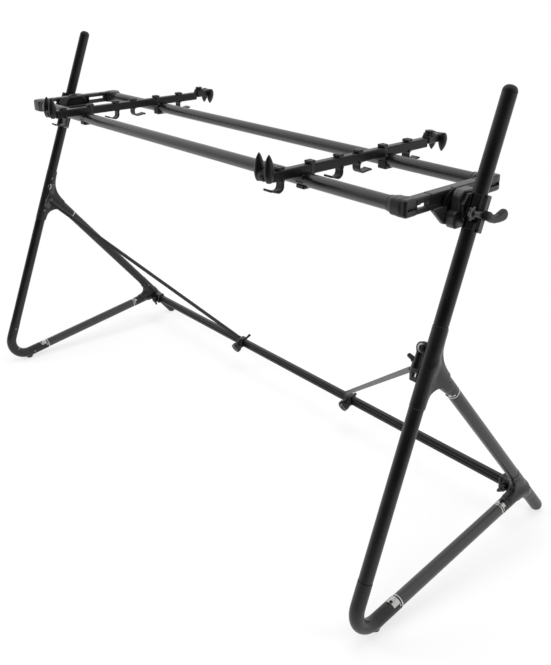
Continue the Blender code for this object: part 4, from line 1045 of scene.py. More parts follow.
    def joint(self) -> None:
        """The Y-shaped casting that holds the post, the lower tube and the rear leg."""
        low, high = self.main(self.lower_seam), self.main(self.upper_seam)
        leg_start = self.upper + self.leg * (self.branch_length + self.neck)
        end = leg_start - self.leg * (self.ring_width + 0.0005)
        body = rod(low, high, self.cast_radius, 0.0009)
        body = body.melt(rod(self.upper, end, self.foot_radius, 0.0008), 0.008)
        webs = self.plate_between(self.upper, self.up, self.leg, 0.086)
        webs |= self.plate_between(self.upper, -self.up, self.leg, 0.034)
        body = body.melt(webs, 0.009)
        bright = np.cross(X_AXIS, self.leg)
        bright *= -np.sign(bright[1])
        body = self.lap(body, leg_start, -self.leg, bright, self.tongue[0], 0.0098)
        body = self.marks(body, ((-0.1040, 0.5135), (-0.0805, 0.4363)), self.foot_radius)
        body = self.marks(body, ((-0.1145, 0.4708),), self.web / 2)
        places = ((-0.1063, 0.5214), (-0.1161, 0.4948), (-0.1387, 0.4341))
        body = self.screws("joint_screws", body, places, self.cast_radius)
        surface = body.skin((0.668, -0.168, 0.400), (0.700, -0.046, 0.547), self.step)
        self.put("joint_casting", surface, BLACK_CAST, "upper_joint", sharp=60)
        self.seam("seam_upper", high + self.up * 0.0004, self.up, self.main_radius)
        self.seam("seam_lower", low - self.up * 0.0004, self.up, self.main_radius)
        self.spigot("upper", leg_start, -self.leg, bright, self.tongue[0])

    def elbow_path(self) -> Array:
        """The elbow's centre line: down the main line, round the bend and along the floor tube."""
        half = math.acos(float(self.up @ self.floor)) / 2
        centre = self.corner + unit(self.up + self.floor) * self.bend_radius / math.sin(half)
        reach = self.bend_radius / math.tan(half)
        first = self.corner + self.up * reach - centre
        last = self.corner + self.floor * reach - centre
        start = math.atan2(first[2], first[1])
        sweep = (math.atan2(last[2], last[1]) - start) % (2 * math.pi)
        bend = arc_points((centre[1], centre[2]), self.bend_radius, start, start + sweep, 22)
        points = np.column_stack([np.full(len(bend), self.half_span), bend])
        return np.concatenate([[self.main(self.elbow_seam)], points, [self.floor_point(self.elbow_reach)]])

    def floor_point(self, y: float) -> Array:
        """The point of the floor line at a Y."""
        return self.corner + self.floor * (y - self.corner[1]) / self.floor[1]

    def elbow(self) -> None:
        """The bent casting at the front, on its rubber pad."""
        path = self.elbow_path()
        tube_start = path[-1] + self.floor * self.neck
        path[-1] = tube_start - self.floor * (self.ring_width + 0.0005)
        radius = self.cast_radius
        body = Solid(lambda p: path_distance(path, p) - radius)
        body &= half_space(path[0], self.up) & half_space(path[-1], self.floor)
        pad = np.array([self.half_span, self.pad_y, 0.0])
        axis = self.floor_point(self.pad_y + 0.004)
        body = body.melt(rod(pad + Z_AXIS * 0.003, pad + Z_AXIS * axis[2], self.pad_radius, 0.0006), 0.005)
        bright = np.cross(X_AXIS, self.floor)
        body = self.lap(body, tube_start, -self.floor, bright, self.tongue[1], 0.0062)
        body = self.marks(body, ((-0.2640, 0.0345),), radius)
        places = ((-0.2612, 0.1040), (-0.2600, 0.0410), (-0.2120, 0.0187))
        body = self.screws("elbow_screws", body, places, radius)
        surface = body.skin((0.668, -0.290, 0.0), (0.700, -0.165, 0.126), self.step)
        self.put("elbow_casting", surface, BLACK_CAST, "front_elbow", sharp=60)
        sole = [(0, 0), (self.pad_radius - 0.0008, 0), (self.pad_radius, 0.0008), (self.pad_radius, 0.0028), (0, 0.0028)]
        self.put("elbow_pad", lathe(sole, pad, Z_AXIS, 40), RUBBER)
        self.seam("seam_elbow", self.main(self.elbow_seam) + self.up * 0.0004, self.up, self.main_radius)
        self.spigot("front", tube_start, -self.floor, bright, self.tongue[1])
        self.tube_start = tube_start

    def rear_foot(self) -> None:
        """The casting at the back, with the toe that stands on the floor."""
        top = self.foot - self.leg * self.sleeve_length
        toe = self.foot + self.leg * ((self.foot[2] - self.toe_height) / math.cos(self.leg_lean))
        tube_end = self.foot - self.floor * (self.socket_length + self.neck)
        end = tube_end + self.floor * (self.ring_width + 0.0005)
        body = rod(top, toe, self.foot_radius, 0.0008) | ball(toe, self.foot_radius)
        body = body.melt(rod(self.foot, end, self.foot_radius, 0.0008), 0.014)
        webs = self.plate_between(self.foot, -self.leg, -self.floor, 0.020)
        webs |= self.plate_between(self.foot, self.leg, -self.floor, 0.040)
        body = body.melt(webs, 0.010)
        bright = np.cross(X_AXIS, self.floor)
        body = self.lap(body, tube_end, self.floor, bright, self.tongue[2], 0.0066)
        body = self.marks(body, ((0.2150, 0.0885), (0.2470, 0.0495), (0.1870, 0.1195)), self.foot_radius)
        body = self.screws("foot_screws", body, ((0.1862, 0.1187), (0.1700, 0.0755)), self.foot_radius)
        body = body.carve(Solid(lambda p: p[:, 2]), 0.0008)
        surface = body.skin((0.668, 0.118, 0.0), (0.700, 0.2880, 0.149), self.step)
        self.put("foot_casting", surface, BLACK_CAST, "rear_foot", sharp=60)
        self.seam("seam_foot", top - self.leg * 0.0004, self.leg, self.leg_radius)
        self.spigot("rear", tube_end, self.floor, bright, self.tongue[2])
        self.tube_end = tube_end

    def build(self) -> None:
        """Builds the whole frame."""
        self.post()
        self.joint()
        self.elbow()
        self.rear_foot()
        gap = 0.0009
        lower_start = self.main(self.elbow_seam) + self.up * gap
        self.tube("lower_tube_skin", lower_start, self.main(self.lower_seam) - self.up * gap, self.main_radius,
                  BLACK_TUBE, "lower_tube")
        self.tube("floor_tube_skin", self.tube_start, self.tube_end, self.leg_radius, WARM_TUBE, "floor_tube")
        leg_start = self.upper + self.leg * (self.branch_length + self.neck)
        leg_end = self.foot - self.leg * (self.sleeve_length + gap)
        self.tube("rear_leg_skin", leg_start, leg_end, self.leg_radius, BLACK_TUBE, "rear_leg")


def screw_head(at: Array, out: Array, radius: float, height: float) -> Surface:
    """A round screw head with a six-sided socket.

    The head is turned from a profile with a rounded rim. The socket is the same grid pushed in: the radius
    at angle u is that of a hexagon, r / cos(((u + 30) mod 60) - 30 degrees).
    """
    first, second, along = axes_along(out, X_AXIS if abs(unit(out)[0]) < 0.9 else Y_AXIS)
    steps, socket = 36, radius * 0.42
    around = np.arange(steps) * 2 * np.pi / steps
    hexagon = socket / np.cos((around + np.pi / 6) % (np.pi / 3) - np.pi / 6)
    rounds = [np.full(steps, r) for r in (radius * 0.6, radius, radius, radius * 0.85, radius * 0.6)]
    heights = [-0.001, -0.001, height * 0.45, height * 0.85, height, height, height * 0.45, height * 0.45]
    radii = np.array(rounds + [hexagon, hexagon, np.full(steps, 1e-6)])
    ring = np.cos(around)[:, None] * first + np.sin(around)[:, None] * second
    points = at + np.array(heights)[:, None, None] * along + radii[..., None] * ring
    rows = len(radii)
    points = np.concatenate([points.reshape(-1, 3), [at - 0.001 * along, points[-1].mean(0)]])
    ends = (rows * steps, rows * steps + 1)
    return Surface(points, [grid_faces(rows, steps), cap_fans(rows, steps, ends)])


# ---------------------------------------------------------------------------------------------------------
# The crossbar and what is on it

BAR_Y = 0.20854
BAR_Z = 0.0785
BAR_DEPTH = 0.014
BAR_TALL = 0.0185


@dataclass
class Crossbar:
    """The grooved bar between the rear feet, held at each end by a bracket with a thumb lever."""

    reach: float = 0.651
    groove: float = 0.0034
    corner: float = 0.0012
    inner: float = 0.6374
    outer: float = 0.6754
    low: float = 0.06325
    high: float = 0.08975
    depth: float = 0.021
    frame: SideFrames = field(default_factory=lambda: SideFrames())

    def bar(self) -> None:
        """The bar: a profile with a V groove along the front and the back, carried along X and closed at both ends."""
        half, tall, edge, groove = BAR_DEPTH / 2, BAR_TALL / 2, self.corner, self.groove
        front = [(half - 0.0040, -tall), (half, -0.0036), (half - groove, -0.0022), (half - groove, 0.0008),
                 (half, 0.0022), (half, tall)]
        section = round_corners(front + [(-y, -z) for y, z in front], edge, 4)
        path = np.array([[-self.reach, BAR_Y, BAR_Z], [self.reach, BAR_Y, BAR_Z]])
        piece("crossbar_profile", carried(section, path, Y_AXIS, 0.0005), CROSSBAR_PAINT, "base", ["crossbar"], 25)

    def bracket(self) -> None:
        """The end bracket: a block with round corners, cut to hug the foot, with a screw and a washer."""
        frame, middle = self.frame, (self.inner + self.outer) / 2
        centre = np.array([middle, BAR_Y, (self.low + self.high) / 2])
        body = brick(centre, (self.outer - self.inner, self.depth, self.high - self.low), 0.0045)
        collar = brick((self.inner + 0.0035, BAR_Y, BAR_Z), (0.007, self.depth + 0.0016, self.high - self.low), 0.0025)
        body = body.melt(collar, 0.0015)
        gap = frame.foot_radius + 0.0003
        body = body.carve(rod(frame.foot - frame.leg * 0.2, frame.foot + frame.leg * 0.06, gap), 0.0010)
        body = body.carve(rod(frame.foot - frame.floor * 0.2, frame.foot, gap), 0.0010)
        body = body.carve(brick((0.60, BAR_Y, BAR_Z), (0.118, BAR_DEPTH + 0.0012, BAR_TALL + 0.0012), 0.0008), 0.0006)
        screw = np.array([0.6455, BAR_Y - self.depth / 2, BAR_Z + 0.0062])
        body = body.carve(rod(screw - Y_AXIS * 0.004, screw + Y_AXIS * 0.0022, 0.0027, 0.0003), 0.0006)
        body = body.carve(brick((middle + 0.006, BAR_Y, self.low), (0.014, 0.010, 0.005), 0.001), 0.0008)
        surface = body.skin((self.inner, BAR_Y - 0.012, self.low), (self.outer, BAR_Y + 0.012, self.high), 0.0007)
        pair("end_bracket_body", surface, BLACK_PLASTIC, "base", ["end_bracket"], 50)
        pair("end_bracket_screw", screw_head(screw + Y_AXIS * 0.0021, -Y_AXIS, 0.0024, 0.0014), DARK_SCREW, "base")
        washer = [(0, 0), (0.0042, 0), (0.0045, 0.0003), (0.0045, 0.0010), (0.0042, 0.0012), (0, 0.0012)]
        side = np.array([self.inner + 0.0002, BAR_Y - self.depth / 2 + 0.0046, self.high - 0.0046])
        side[0] += 0.0004
        cap = screw_head(side - X_AXIS * 0.0004, -X_AXIS, 0.0030, 0.0002)
        pair("end_bracket_side_bolt", joined([lathe(washer, side + X_AXIS * 0.0008, -X_AXIS, 32), cap]), ZINC, "base")

    def lever(self) -> None:
        """The thumb lever: a hub with a dimpled end and a screw, and a paddle that narrows to a round point."""
        axis = np.array([0.6527, BAR_Y - self.depth / 2 - 0.0003, BAR_Z - 0.004])
        hub = rod(axis, axis - Y_AXIS * 0.0100, 0.0073, 0.0012)
        drop = math.radians(50)
        along = np.array([-math.cos(drop), 0.0, -math.sin(drop)])
        across = np.cross(along, Y_AXIS)
        outline = round_corners([(-0.003, -0.0058), (0.008, -0.0052), (0.0185, -0.0022), (0.0190, 0.0022),
                                 (0.008, 0.0056), (-0.003, 0.0058)], 0.0028, 5)
        paddle = slab(outline, axis - Y_AXIS * 0.0060, along, across, 0.0042, 0.0012)
        body = hub.melt(paddle, 0.003)
        dimple = axis - Y_AXIS * 0.0103
        body = body.carve(rod(dimple - Y_AXIS * 0.002, dimple + Y_AXIS * 0.0018, 0.0034, 0.0003), 0.0008)
        surface = body.skin((0.636, axis[1] - 0.0102, BAR_Z - 0.022), (0.662, axis[1], BAR_Z + 0.006), 0.0006)
        pair("end_lever_handle", surface, BLACK_PLASTIC, "end_lever", ["end_lever"], 50)
        pair("end_lever_screw", screw_head(axis - Y_AXIS * 0.0084, -Y_AXIS, 0.0027, 0.0012), DARK_SCREW, "end_lever")

    def build(self) -> None:
        """Builds the bar and both ends."""
        self.bar()
        self.bracket()
        self.lever()


@dataclass
class BraceClamp:
    """The clamp on the crossbar that takes a brace, with its ribbed knob and the pin behind."""

    side: Side
    place: float
    pin_reach: float
    width: float = 0.018
    wall: float = 0.0035
    boss_radius: float = 0.0110
    boss_reach: float = 0.0165
    pin_radius: float = 0.0032
    drop: float = math.radians(25)
    knob_radius: float = 0.0145
    knob_length: float = 0.0145

    def __post_init__(self) -> None:
        """Works out the screw's line."""
        self.centre = np.array([self.place, BAR_Y, BAR_Z])
        self.ahead = np.array([0.0, -math.cos(self.drop), -math.sin(self.drop)])

    def body(self) -> None:
        """The jaws round the bar, split at the bottom, with the boss, the lug and the pin's nut."""
        centre, wall = self.centre, self.wall
        size = (self.width, BAR_DEPTH + 2 * wall, BAR_TALL + 2 * wall)
        body = brick(centre, size, 0.0028).melt(rod(centre, centre + self.ahead * self.boss_reach,
                                                    self.boss_radius, 0.001), 0.003)
        lug_at = centre + np.array([0, -BAR_DEPTH / 2 - 0.003, BAR_TALL / 2 + wall - 0.0025])
        body = body.melt(brick(lug_at, (self.width * 0.7, 0.012, 0.007), 0.0016), 0.0025)
        body = body.carve(brick(centre, (0.06, BAR_DEPTH + 0.0010, BAR_TALL + 0.0010), 0.0012), 0.0006)
        slit = centre + np.array([0, BAR_DEPTH / 2 + wall, 0])
        body = body.carve(brick(slit, (0.06, 0.012, 0.0022), 0.0005), 0.0005)
        for side in (-1, 1):
            rib = centre + self.ahead * 0.012 + X_AXIS * side * self.boss_radius
            body = body.carve(rod(rib - self.ahead * 0.004, rib + self.ahead * 0.004, 0.0018, 0.0004), 0.0008)
        low = centre - np.array([0.0115, 0.026, 0.020])
        surface = body.skin(low, centre + np.array([0.0115, 0.0120, 0.018]), 0.0007)
        piece(f"crossbar_clamp_jaws_{self.side.label}", surface.on(self.side), BLACK_PLASTIC, "base",
              [f"crossbar_clamp_{self.side.label}"], 50)
        start, end = centre - self.ahead * (BAR_DEPTH / 2 + 0.0006), centre - self.ahead * self.pin_reach
        length, radius = float(np.linalg.norm(end - start)), self.pin_radius
        profile = [(0, 0), (0.0060, 0), (0.0062, 0.0004), (0.0062, 0.0034), (0.0058, 0.0040), (radius, 0.0041),
                   (radius, length - 0.0030), (radius + 0.0006, length - 0.0028), (radius + 0.0006, length - 0.0006),
                   (radius, length), (0, length)]
        pin = lathe(profile, start, -self.ahead, 32).on(self.side)
        piece(f"crossbar_clamp_pin_{self.side.label}", pin, SOFT_PLASTIC, "base")

    def knob(self) -> None:
        """The knob: a ribbed grip with three finger grooves and a domed face.

        The radius at angle u is R - 0.0006 * (0.5 + 0.5 cos 24u) - 0.0056 * (0.5 + 0.5 cos 3(u - u0)) ** 1.5,
        scaled row by row by the profile, so that the ribs fade out into the faces.
        """
        steps, radius, length = 180, self.knob_radius, self.knob_length
        around = np.arange(steps) * 2 * np.pi / steps
        ribs = 0.0006 * (0.5 + 0.5 * np.cos(24 * around))
        grooves = 0.0056 * (0.5 + 0.5 * np.cos(3 * (around - math.radians(70)))) ** 1.5
        heights = np.array([0, 0, 0.0006, 0.0030, 0.0036, 0.0120, 0.0132, 0.0141, 0.0145, 0.0145, 0.0139])
        heights = heights * length / 0.0145
        base = np.array([0.0060, 0.0108, 0.0116, 0.0138, 0.0145, 0.0145, 0.0141, 0.0130, 0.0112, 0.0078, 0.0070])
        share = np.array([0, 0, 0, 0.6, 1, 1, 0.9, 0.5, 0, 0, 0])
        radii = base[:, None] * radius / 0.0145 - share[:, None] * (ribs + grooves)
        first, second, along = axes_along(self.ahead)
        start = self.centre + self.ahead * (self.boss_reach + 0.0003)
        ring = np.cos(around)[:, None] * first + np.sin(around)[:, None] * second
        points = start + heights[:, None, None] * along + radii[..., None] * ring
        rows = len(heights)
        middles = np.stack([start, start + along * heights[-1]])
        points = np.concatenate([points.reshape(-1, 3), middles])
        ends = (rows * steps, rows * steps + 1)
        grip = Surface(points, [grid_faces(rows, steps), cap_fans(rows, steps, ends)])
        label = self.side.label
        piece(f"clamp_knob_grip_{label}", grip.on(self.side), BLACK_PLASTIC, f"clamp_knob_{label}",
              [f"clamp_knob_{label}"], 40)
        face = start + along * (heights[-1] - 0.0004)
        cap = [(0, 0), (0.0068, 0), (0.0070, 0.0003), (0.0066, 0.0009), (0.0040, 0.0011), (0.0036, 0.0004), (0, 0.0004)]
        piece(f"clamp_knob_cap_{label}", lathe(cap, face, along, 40).on(self.side), DARK_SCREW, f"clamp_knob_{label}")
        glint = screw_head(face + second * 0.0098 - along * 0.0004, along, 0.0030, 0.0010)
        piece(f"clamp_knob_screw_{label}", glint.on(self.side), ZINC, f"clamp_knob_{label}")

    def build(self) -> None:
        """Builds the clamp and its knob."""
        self.body()
        self.knob()


@dataclass
class Brace:
    """The flat bar from the main line down to the crossbar, with its screws."""

    side: Side
    foot_x: float
    top: Array = field(default_factory=lambda: np.array([0.6529, -0.12861, 0.4612]))
    width: float = 0.0096
    thickness: float = 0.003

    def build(self) -> None:
        """Builds the bar with round ends and a screw at each."""
        low = np.array([self.foot_x, BAR_Y - 0.014, 0.09645])
        along = unit(low - self.top)
        upward = unit(Z_AXIS - along * along[2])
        out = np.cross(along, upward)
        length, half = float(np.linalg.norm(low - self.top)), self.width / 2
        tip = arc_points((length - half, 0), half, -np.pi / 2, np.pi / 2, 12)
        heel = arc_points((half, 0), half, np.pi / 2, 3 * np.pi / 2, 12)
        outline = np.concatenate([tip, heel])
        edge, rows = 0.0006, []
        for height, inset in ((-1, edge), (-1, edge * 0.3), (-0.8, 0), (0.8, 0), (1, edge * 0.3), (1, edge)):
            shrink = np.where(np.abs(outline[:, 1:]) > 0, 1 - inset / half, 1)
            flat = outline.copy()
            centre_line = np.clip(flat[:, 0], half, length - half)
            flat[:, 0] = centre_line + (flat[:, 0] - centre_line) * shrink[:, 0]
            flat[:, 1] *= 1 - inset / half
            rows.append(self.top + flat[:, :1] * along + flat[:, 1:] * upward + height * self.thickness / 2 * out)
        points = np.stack(rows)
        points = np.concatenate([points.reshape(-1, 3), points[[0, -1]].mean(1)])
        columns = len(outline)
        ends = (6 * columns, 6 * columns + 1)
        bar = Surface(points, [grid_faces(6, columns), cap_fans(6, columns, ends)])
        label = self.side.label
        piece(f"brace_bar_{label}", bar.on(self.side), GREY_BRACE, "base", [f"brace_{label}"], 30)
        heads = []
        for at in (self.top + along * half * 1.15, low - along * half * 1.15):
            for sign in (-1, 1):
                heads.append(screw_head(at + out * sign * (self.thickness / 2 + 0.0002), out * sign, 0.0026, 0.0014))
        piece(f"brace_screws_{label}", joined(heads).on(self.side), DARK_SCREW, "base")


@dataclass
class BraceBracket:
    """The bracket on the inner side of the main line: an arm, a round head with a hex bolt, a wing screw."""

    frame: SideFrames
    brace_top: float = 0.4612
    below: float = 0.0162
    head_above: float = 0.0383
    head_radius: float = 0.0100
    reach: float = 0.0150
    width: float = 0.0125

    def build(self) -> None:
        """Builds the body, the head's rings and bolt, and the wing screw."""
        frame = self.frame
        across = np.array([0.0, math.cos(frame.lean), -math.sin(frame.lean)])
        near, far = frame.web / 2 + 0.0012, frame.cast_radius + self.reach
        low, head = frame.main(self.brace_top - self.below), frame.main(self.brace_top + self.head_above)
        inward = -X_AXIS
        axes = (X_AXIS, np.cross(frame.up, X_AXIS), frame.up)
        length = float(np.linalg.norm(head - low))
        middle = (low + head) / 2 + inward * (near + far) / 2
        body = brick(middle, (far - near, self.width, length), 0.0022, axes)
        head_at = head + inward * (frame.cast_radius + self.head_radius - 0.002)
        disc = rod(head_at - across * self.width * 0.48, head_at + across * self.width * 0.48, self.head_radius, 0.0012)
        body = body.melt(disc, 0.0025)
        bowl = head_at - across * self.width * 0.5
        body = body.carve(rod(bowl - across * 0.004, bowl + across * 0.0034, 0.0076, 0.0005), 0.0008)
        swell = frame.main(self.brace_top + 0.003) + inward * (far - 0.0046)
        body = body.melt(rod(swell - frame.up * 0.010, swell + frame.up * 0.010, 0.0056, 0.0050), 0.0100)
        window = frame.main(self.brace_top - 0.0052) + inward * (frame.cast_radius + 0.005)
        body = body.carve(brick(window, (0.0056, 0.05, 0.0100), 0.0018, axes), 0.0010)
        behind = window + across * 0.0040 - X_AXIS * 0.0010
        body = body.carve(brick(behind, (0.0120, 0.0130, 0.0110), 0.0012, axes), 0.0010)
        recess = frame.main(self.brace_top + 0.016) + inward * (frame.cast_radius + 0.0055) - across * self.width * 0.5
        body = body.carve(brick(recess + frame.up * 0.0012, (0.0090, 0.013, 0.028), 0.0012, axes), 0.0010)
        taper = low + inward * (far + 0.0012) - frame.up * 0.001
        tilt = unit(inward * 0.96 - frame.up * 0.28)
        body = body.carve(brick(taper, (0.006, 0.05, 0.030), 0.001, (tilt, axes[1], np.cross(tilt, axes[1]))), 0.003)
        seat = rod(frame.main(0.30), frame.main(0.65), frame.cast_radius + 0.0003)
        body = body.carve(seat, 0.0008)
        body = body.carve(rod(frame.upper, frame.upper + frame.leg * 0.1, frame.foot_radius + 0.0003), 0.0008)
        box_low = np.minimum(low, head) + np.array([-far - 0.001, -0.016, -0.006])
        box_high = np.maximum(low, head) + np.array([0.004, 0.016, 0.014])
        surface = body.skin(box_low, box_high, 0.0007)
        # The bracket takes the lightened cast paint, which paints light onto it.
        pair("brace_bracket_body", surface, PAINTED_LIGHT_CAST, "base", ["brace_bracket"], 50)
        seat_at = head_at - across * self.width * 0.24
        ring = [(0.0036, 0), (0.0072, 0), (0.0074, 0.0003), (0.0074, 0.0022), (0.0070, 0.0026), (0.0036, 0.0026),
                (0.0036, 0)]
        # The washer is painted near-white: a painted reflection that stands in for the bright crescent in the head's
        # bowl.
        pair("bracket_bolt_washer", lathe(ring, seat_at, -across, 40), PAINTED_GLINT_RING, "base")
        pair("bracket_bolt", hex_bolt(seat_at + X_AXIS * 0.0032 - across * 0.0010, -across, 0.0064, 0.0050), DARK_SCREW, "base")
        cap_at = head_at + frame.up * (self.head_radius - 0.0008) + X_AXIS * 0.004
        cap = brick(cap_at, (0.012, self.width * 0.8, 0.0024), 0.0009, axes)
        pair("bracket_cap", cap.skin(cap_at - 0.010, cap_at + 0.010, 0.0006), SOFT_PLASTIC, "base", sharp=50)
        self.wing(far, axes)

    def wing(self, far: float, axes: Sequence[Array]) -> None:
        """The wing screw: a round hub, and a leaf-shaped wing that leans out from it."""
        start = self.frame.main(self.brace_top + 0.0148) - X_AXIS * (far + 0.0003)
        hub = rod(start, start - X_AXIS * 0.0060, 0.0048, 0.0008)
        outline = round_corners([(0.001, -0.0034), (0.0060, -0.0042), (0.0160, -0.0034), (0.0172, 0.0), (0.0160, 0.0034),
                                 (0.0060, 0.0042), (0.001, 0.0034)], 0.0024, 5)
        out, rise = unit(-X_AXIS + 0.36 * Z_AXIS), unit(0.36 * X_AXIS + Z_AXIS)
        leaf = slab(outline, start, out, rise, 0.0062, 0.0020)
        body = hub.melt(leaf, 0.0020)
        centre = start - X_AXIS * 0.0084
        surface = body.skin(centre - np.array([0.0090, 0.0075, 0.0075]), centre + np.array([0.0086, 0.0075, 0.0075]), 0.0005)
        pair("wing_screw_handle", surface, BLACK_PLASTIC, "wing_screw", ["wing_screw"], 50)


def hex_bolt(at: Array, out: Array, radius: float, height: float) -> Surface:
    """A six-sided bolt head with a washer face and a round chamfer.

    The radius at angle u is r * cos(30) / cos(((u + 30) mod 60) - 30 degrees), at most the radius r in the
    rows of the chamfer.
    """
    first, second, along = axes_along(out, X_AXIS if abs(unit(out)[0]) < 0.9 else Y_AXIS)
    steps = 72
    around = np.arange(steps) * 2 * np.pi / steps
    hexagon = radius * math.cos(np.pi / 6) / np.cos((around + np.pi / 6) % (np.pi / 3) - np.pi / 6)
    heights = np.array([0, 0, 0.7, 0.85, 0.95, 1.0, 1.0]) * height
    limits = np.array([0.5, 1.0, 1.0, 0.97, 0.90, 0.80, 0.3]) * radius
    radii = np.minimum(hexagon, limits[:, None])
    ring = np.cos(around)[:, None] * first + np.sin(around)[:, None] * second
    points = at + heights[:, None, None] * along + radii[..., None] * ring
    points = np.concatenate([points.reshape(-1, 3), [at, at + along * height]])
    rows = len(heights)
    return Surface(points, [grid_faces(rows, steps), cap_fans(rows, steps, (rows * steps, rows * steps + 1))])


# ---------------------------------------------------------------------------------------------------------
# The clamps on the posts


@dataclass
class PostClamp:
    """The collar round a post, the housing of the tilt joint, the outer jaw, the bolt and its lever."""

    frame: SideFrames
    side: Side
    skirt: float
    height: float = 0.7198
    collar_length: float = 0.052
    wall: float = 0.0040
    plate_x: float = 0.6468
    housing: tuple[float, float, float] = (0.050, 0.063, 0.015)
    setback: float = 0.012

    def put(self, words: str, surface: Surface, finish: Finish, nodes: Sequence[str] = (), body: str = "carriage",
            sharp: float = 50.0) -> None:
        """Makes a piece on this side."""
        piece(f"{words}_{self.side.label}", surface.on(self.side), finish, body, nodes, sharp)

    def housing_outline(self, grow: float) -> Array:
        """The outline of the housing seen from the side, as Y and Z from the tilt axis."""
        depth, tall, corner = self.housing
        outline = round_corners(box_corners(depth + 2 * grow, tall + 2 * grow), corner + grow, 7)
        return outline + [self.setback, 0.0]

    def build(self) -> None:
        """Builds the clamp and its lever."""
        frame, label = self.frame, self.side.label
        centre = frame.main(self.height)
        across = np.array([0.0, math.cos(frame.lean), -math.sin(frame.lean)])
        axes = (X_AXIS, across, frame.up)
        outer = frame.main_radius + self.wall
        low = centre - frame.up * (self.collar_length / 2 + self.skirt)
        high = centre + frame.up * self.collar_length / 2
        body = rod(low, high, outer, 0.0014)
        end_x = frame.half_span - 0.0120
        shoulder = end_x - 0.0080
        at = np.array([(self.plate_x + shoulder) / 2, centre[1], centre[2]])
        drum = slab(self.housing_outline(-0.0004), at, Y_AXIS, Z_AXIS, shoulder - self.plate_x, 0.0026)
        lid_at = np.array([self.plate_x + 0.0035, centre[1], centre[2]])
        drum = drum.melt(slab(self.housing_outline(0.0), lid_at, Y_AXIS, Z_AXIS, 0.0070, 0.0012), 0.0010)
        belly = round_corners([(-0.0250, -0.0305), (0.0100, -0.0305), (0.0100, -0.0010), (-0.0250, -0.0010)], 0.0090, 6)
        drum = drum.melt(slab(belly, at, Y_AXIS, Z_AXIS, shoulder - self.plate_x, 0.0024), 0.0006)
        eight = [turn_about(math.radians(22.5 + 45 * step))[1:] * (0.0255, 0.0284) for step in range(8)]
        plate_at = np.array([end_x - 0.0040, centre[1] + 0.0115, centre[2] + 0.0004])
        plate = slab(np.array(eight), plate_at, Y_AXIS, Z_AXIS, 0.0080, 0.0014)
        dish = rod(plate_at + X_AXIS * 0.0022, plate_at + X_AXIS * 0.0120, 0.0218, 0.0006)
        plate = plate.carve(dish, 0.0010)
        bore = rod(frame.main(0.55), frame.main(0.9), frame.main_radius + 0.0004)
        floor_z = min(low[2], centre[2] - self.housing[1] / 2) - 0.006
        box_low = (self.plate_x, centre[1] - 0.036 - self.skirt * 0.35, floor_z)
        box_high = (0.703, centre[1] + 0.038, centre[2] + 0.034)
        surface = drum.carve(bore, 0.0006).skin(box_low, box_high, 0.0008)
        # The drum takes the lightened cast paint, which paints light onto it.
        self.put("tilt_drum", surface, PAINTED_LIGHT_CAST, [f"post_clamp_{label}"])
        surface = plate.carve(bore, 0.0006).skin(box_low, box_high, 0.0008)
        self.put("tilt_plate", surface, BED_CAST, [f"post_clamp_{label}"])
        body = body & half_space(centre - X_AXIS * 0.0040, -X_AXIS)
        face = centre - across * (outer - 0.0035)
        body = body.melt(brick(face + X_AXIS * 0.0060, (0.0190, 0.0080, 0.058), 0.0022, axes), 0.0020)
        opening = centre + np.array([0.0160, -0.0220, 0.0040])
        body = body.carve(brick(opening, (0.0160, 0.0200, 0.0300), 0.0030), 0.0015)
        jaw_at = centre + X_AXIS * (frame.main_radius + 0.0015)
        jaw = brick(jaw_at + across * 0.0040, (0.0066, 0.0120, 0.062), 0.0016, axes)
        front = centre + np.array([0.0100, -0.0195, 0.0035])
        hub = centre + np.array([0.0182, -0.0020, -0.0010])
        jaw = jaw.melt(rod(front, hub, 0.0056, 0.0012), 0.0014)
        jaw = jaw & half_space(centre + X_AXIS * 0.0185, X_AXIS)
        for rise in (-0.018, 0.018):
            gap = centre + across * (0.0020 - outer) + frame.up * rise
            body = body.carve(brick(gap, (0.0030, 0.014, 0.026), 0.0006, axes), 0.0006)
        body = body.carve(bore, 0.0006)
        # The collar takes the darker, duller copy of the plastic, which paints shade into it.
        self.put("post_clamp_body", body.skin(box_low, box_high, 0.0008), PAINTED_SHADE_PLASTIC, [f"post_clamp_{label}"])
        jaw = jaw.carve(bore, 0.0006)
        # The jaw takes the lightened cast paint, which paints light onto it.
        self.put("post_clamp_jaw", jaw.skin(box_low, box_high, 0.0008), PAINTED_LIGHT_CAST, [f"post_clamp_{label}"])
        self.put("post_clamp_bolt", hex_bolt(front - X_AXIS * 0.0010, -X_AXIS, 0.0062, 0.0034), DARK_SCREW)
        flange = star_washer(front - X_AXIS * 0.0010, X_AXIS, 0.0122, 0.0028)
        # The flange takes the lightened cast paint, which paints light onto it.
        self.put("post_clamp_flange", flange, PAINTED_LIGHT_CAST)
        for number, shift in enumerate((-0.024, 0.024)):
            head = jaw_at + across * 0.004 + frame.up * shift + X_AXIS * 0.0032
            self.put(f"jaw_screw_{number + 1}", screw_head(head, X_AXIS, 0.0018, 0.0008), ZINC)
        if self.skirt:
            ring = [(outer - 0.0030, 0), (outer + 0.0003, 0), (outer + 0.0006, 0.0004), (outer + 0.0006, 0.0020),
                    (outer + 0.0002, 0.0024), (outer - 0.0030, 0.0024), (outer - 0.0030, 0)]
            self.put("skirt_ring", lathe(ring, low - frame.up * 0.0005, frame.up), ZINC)
        self.lever(centre)

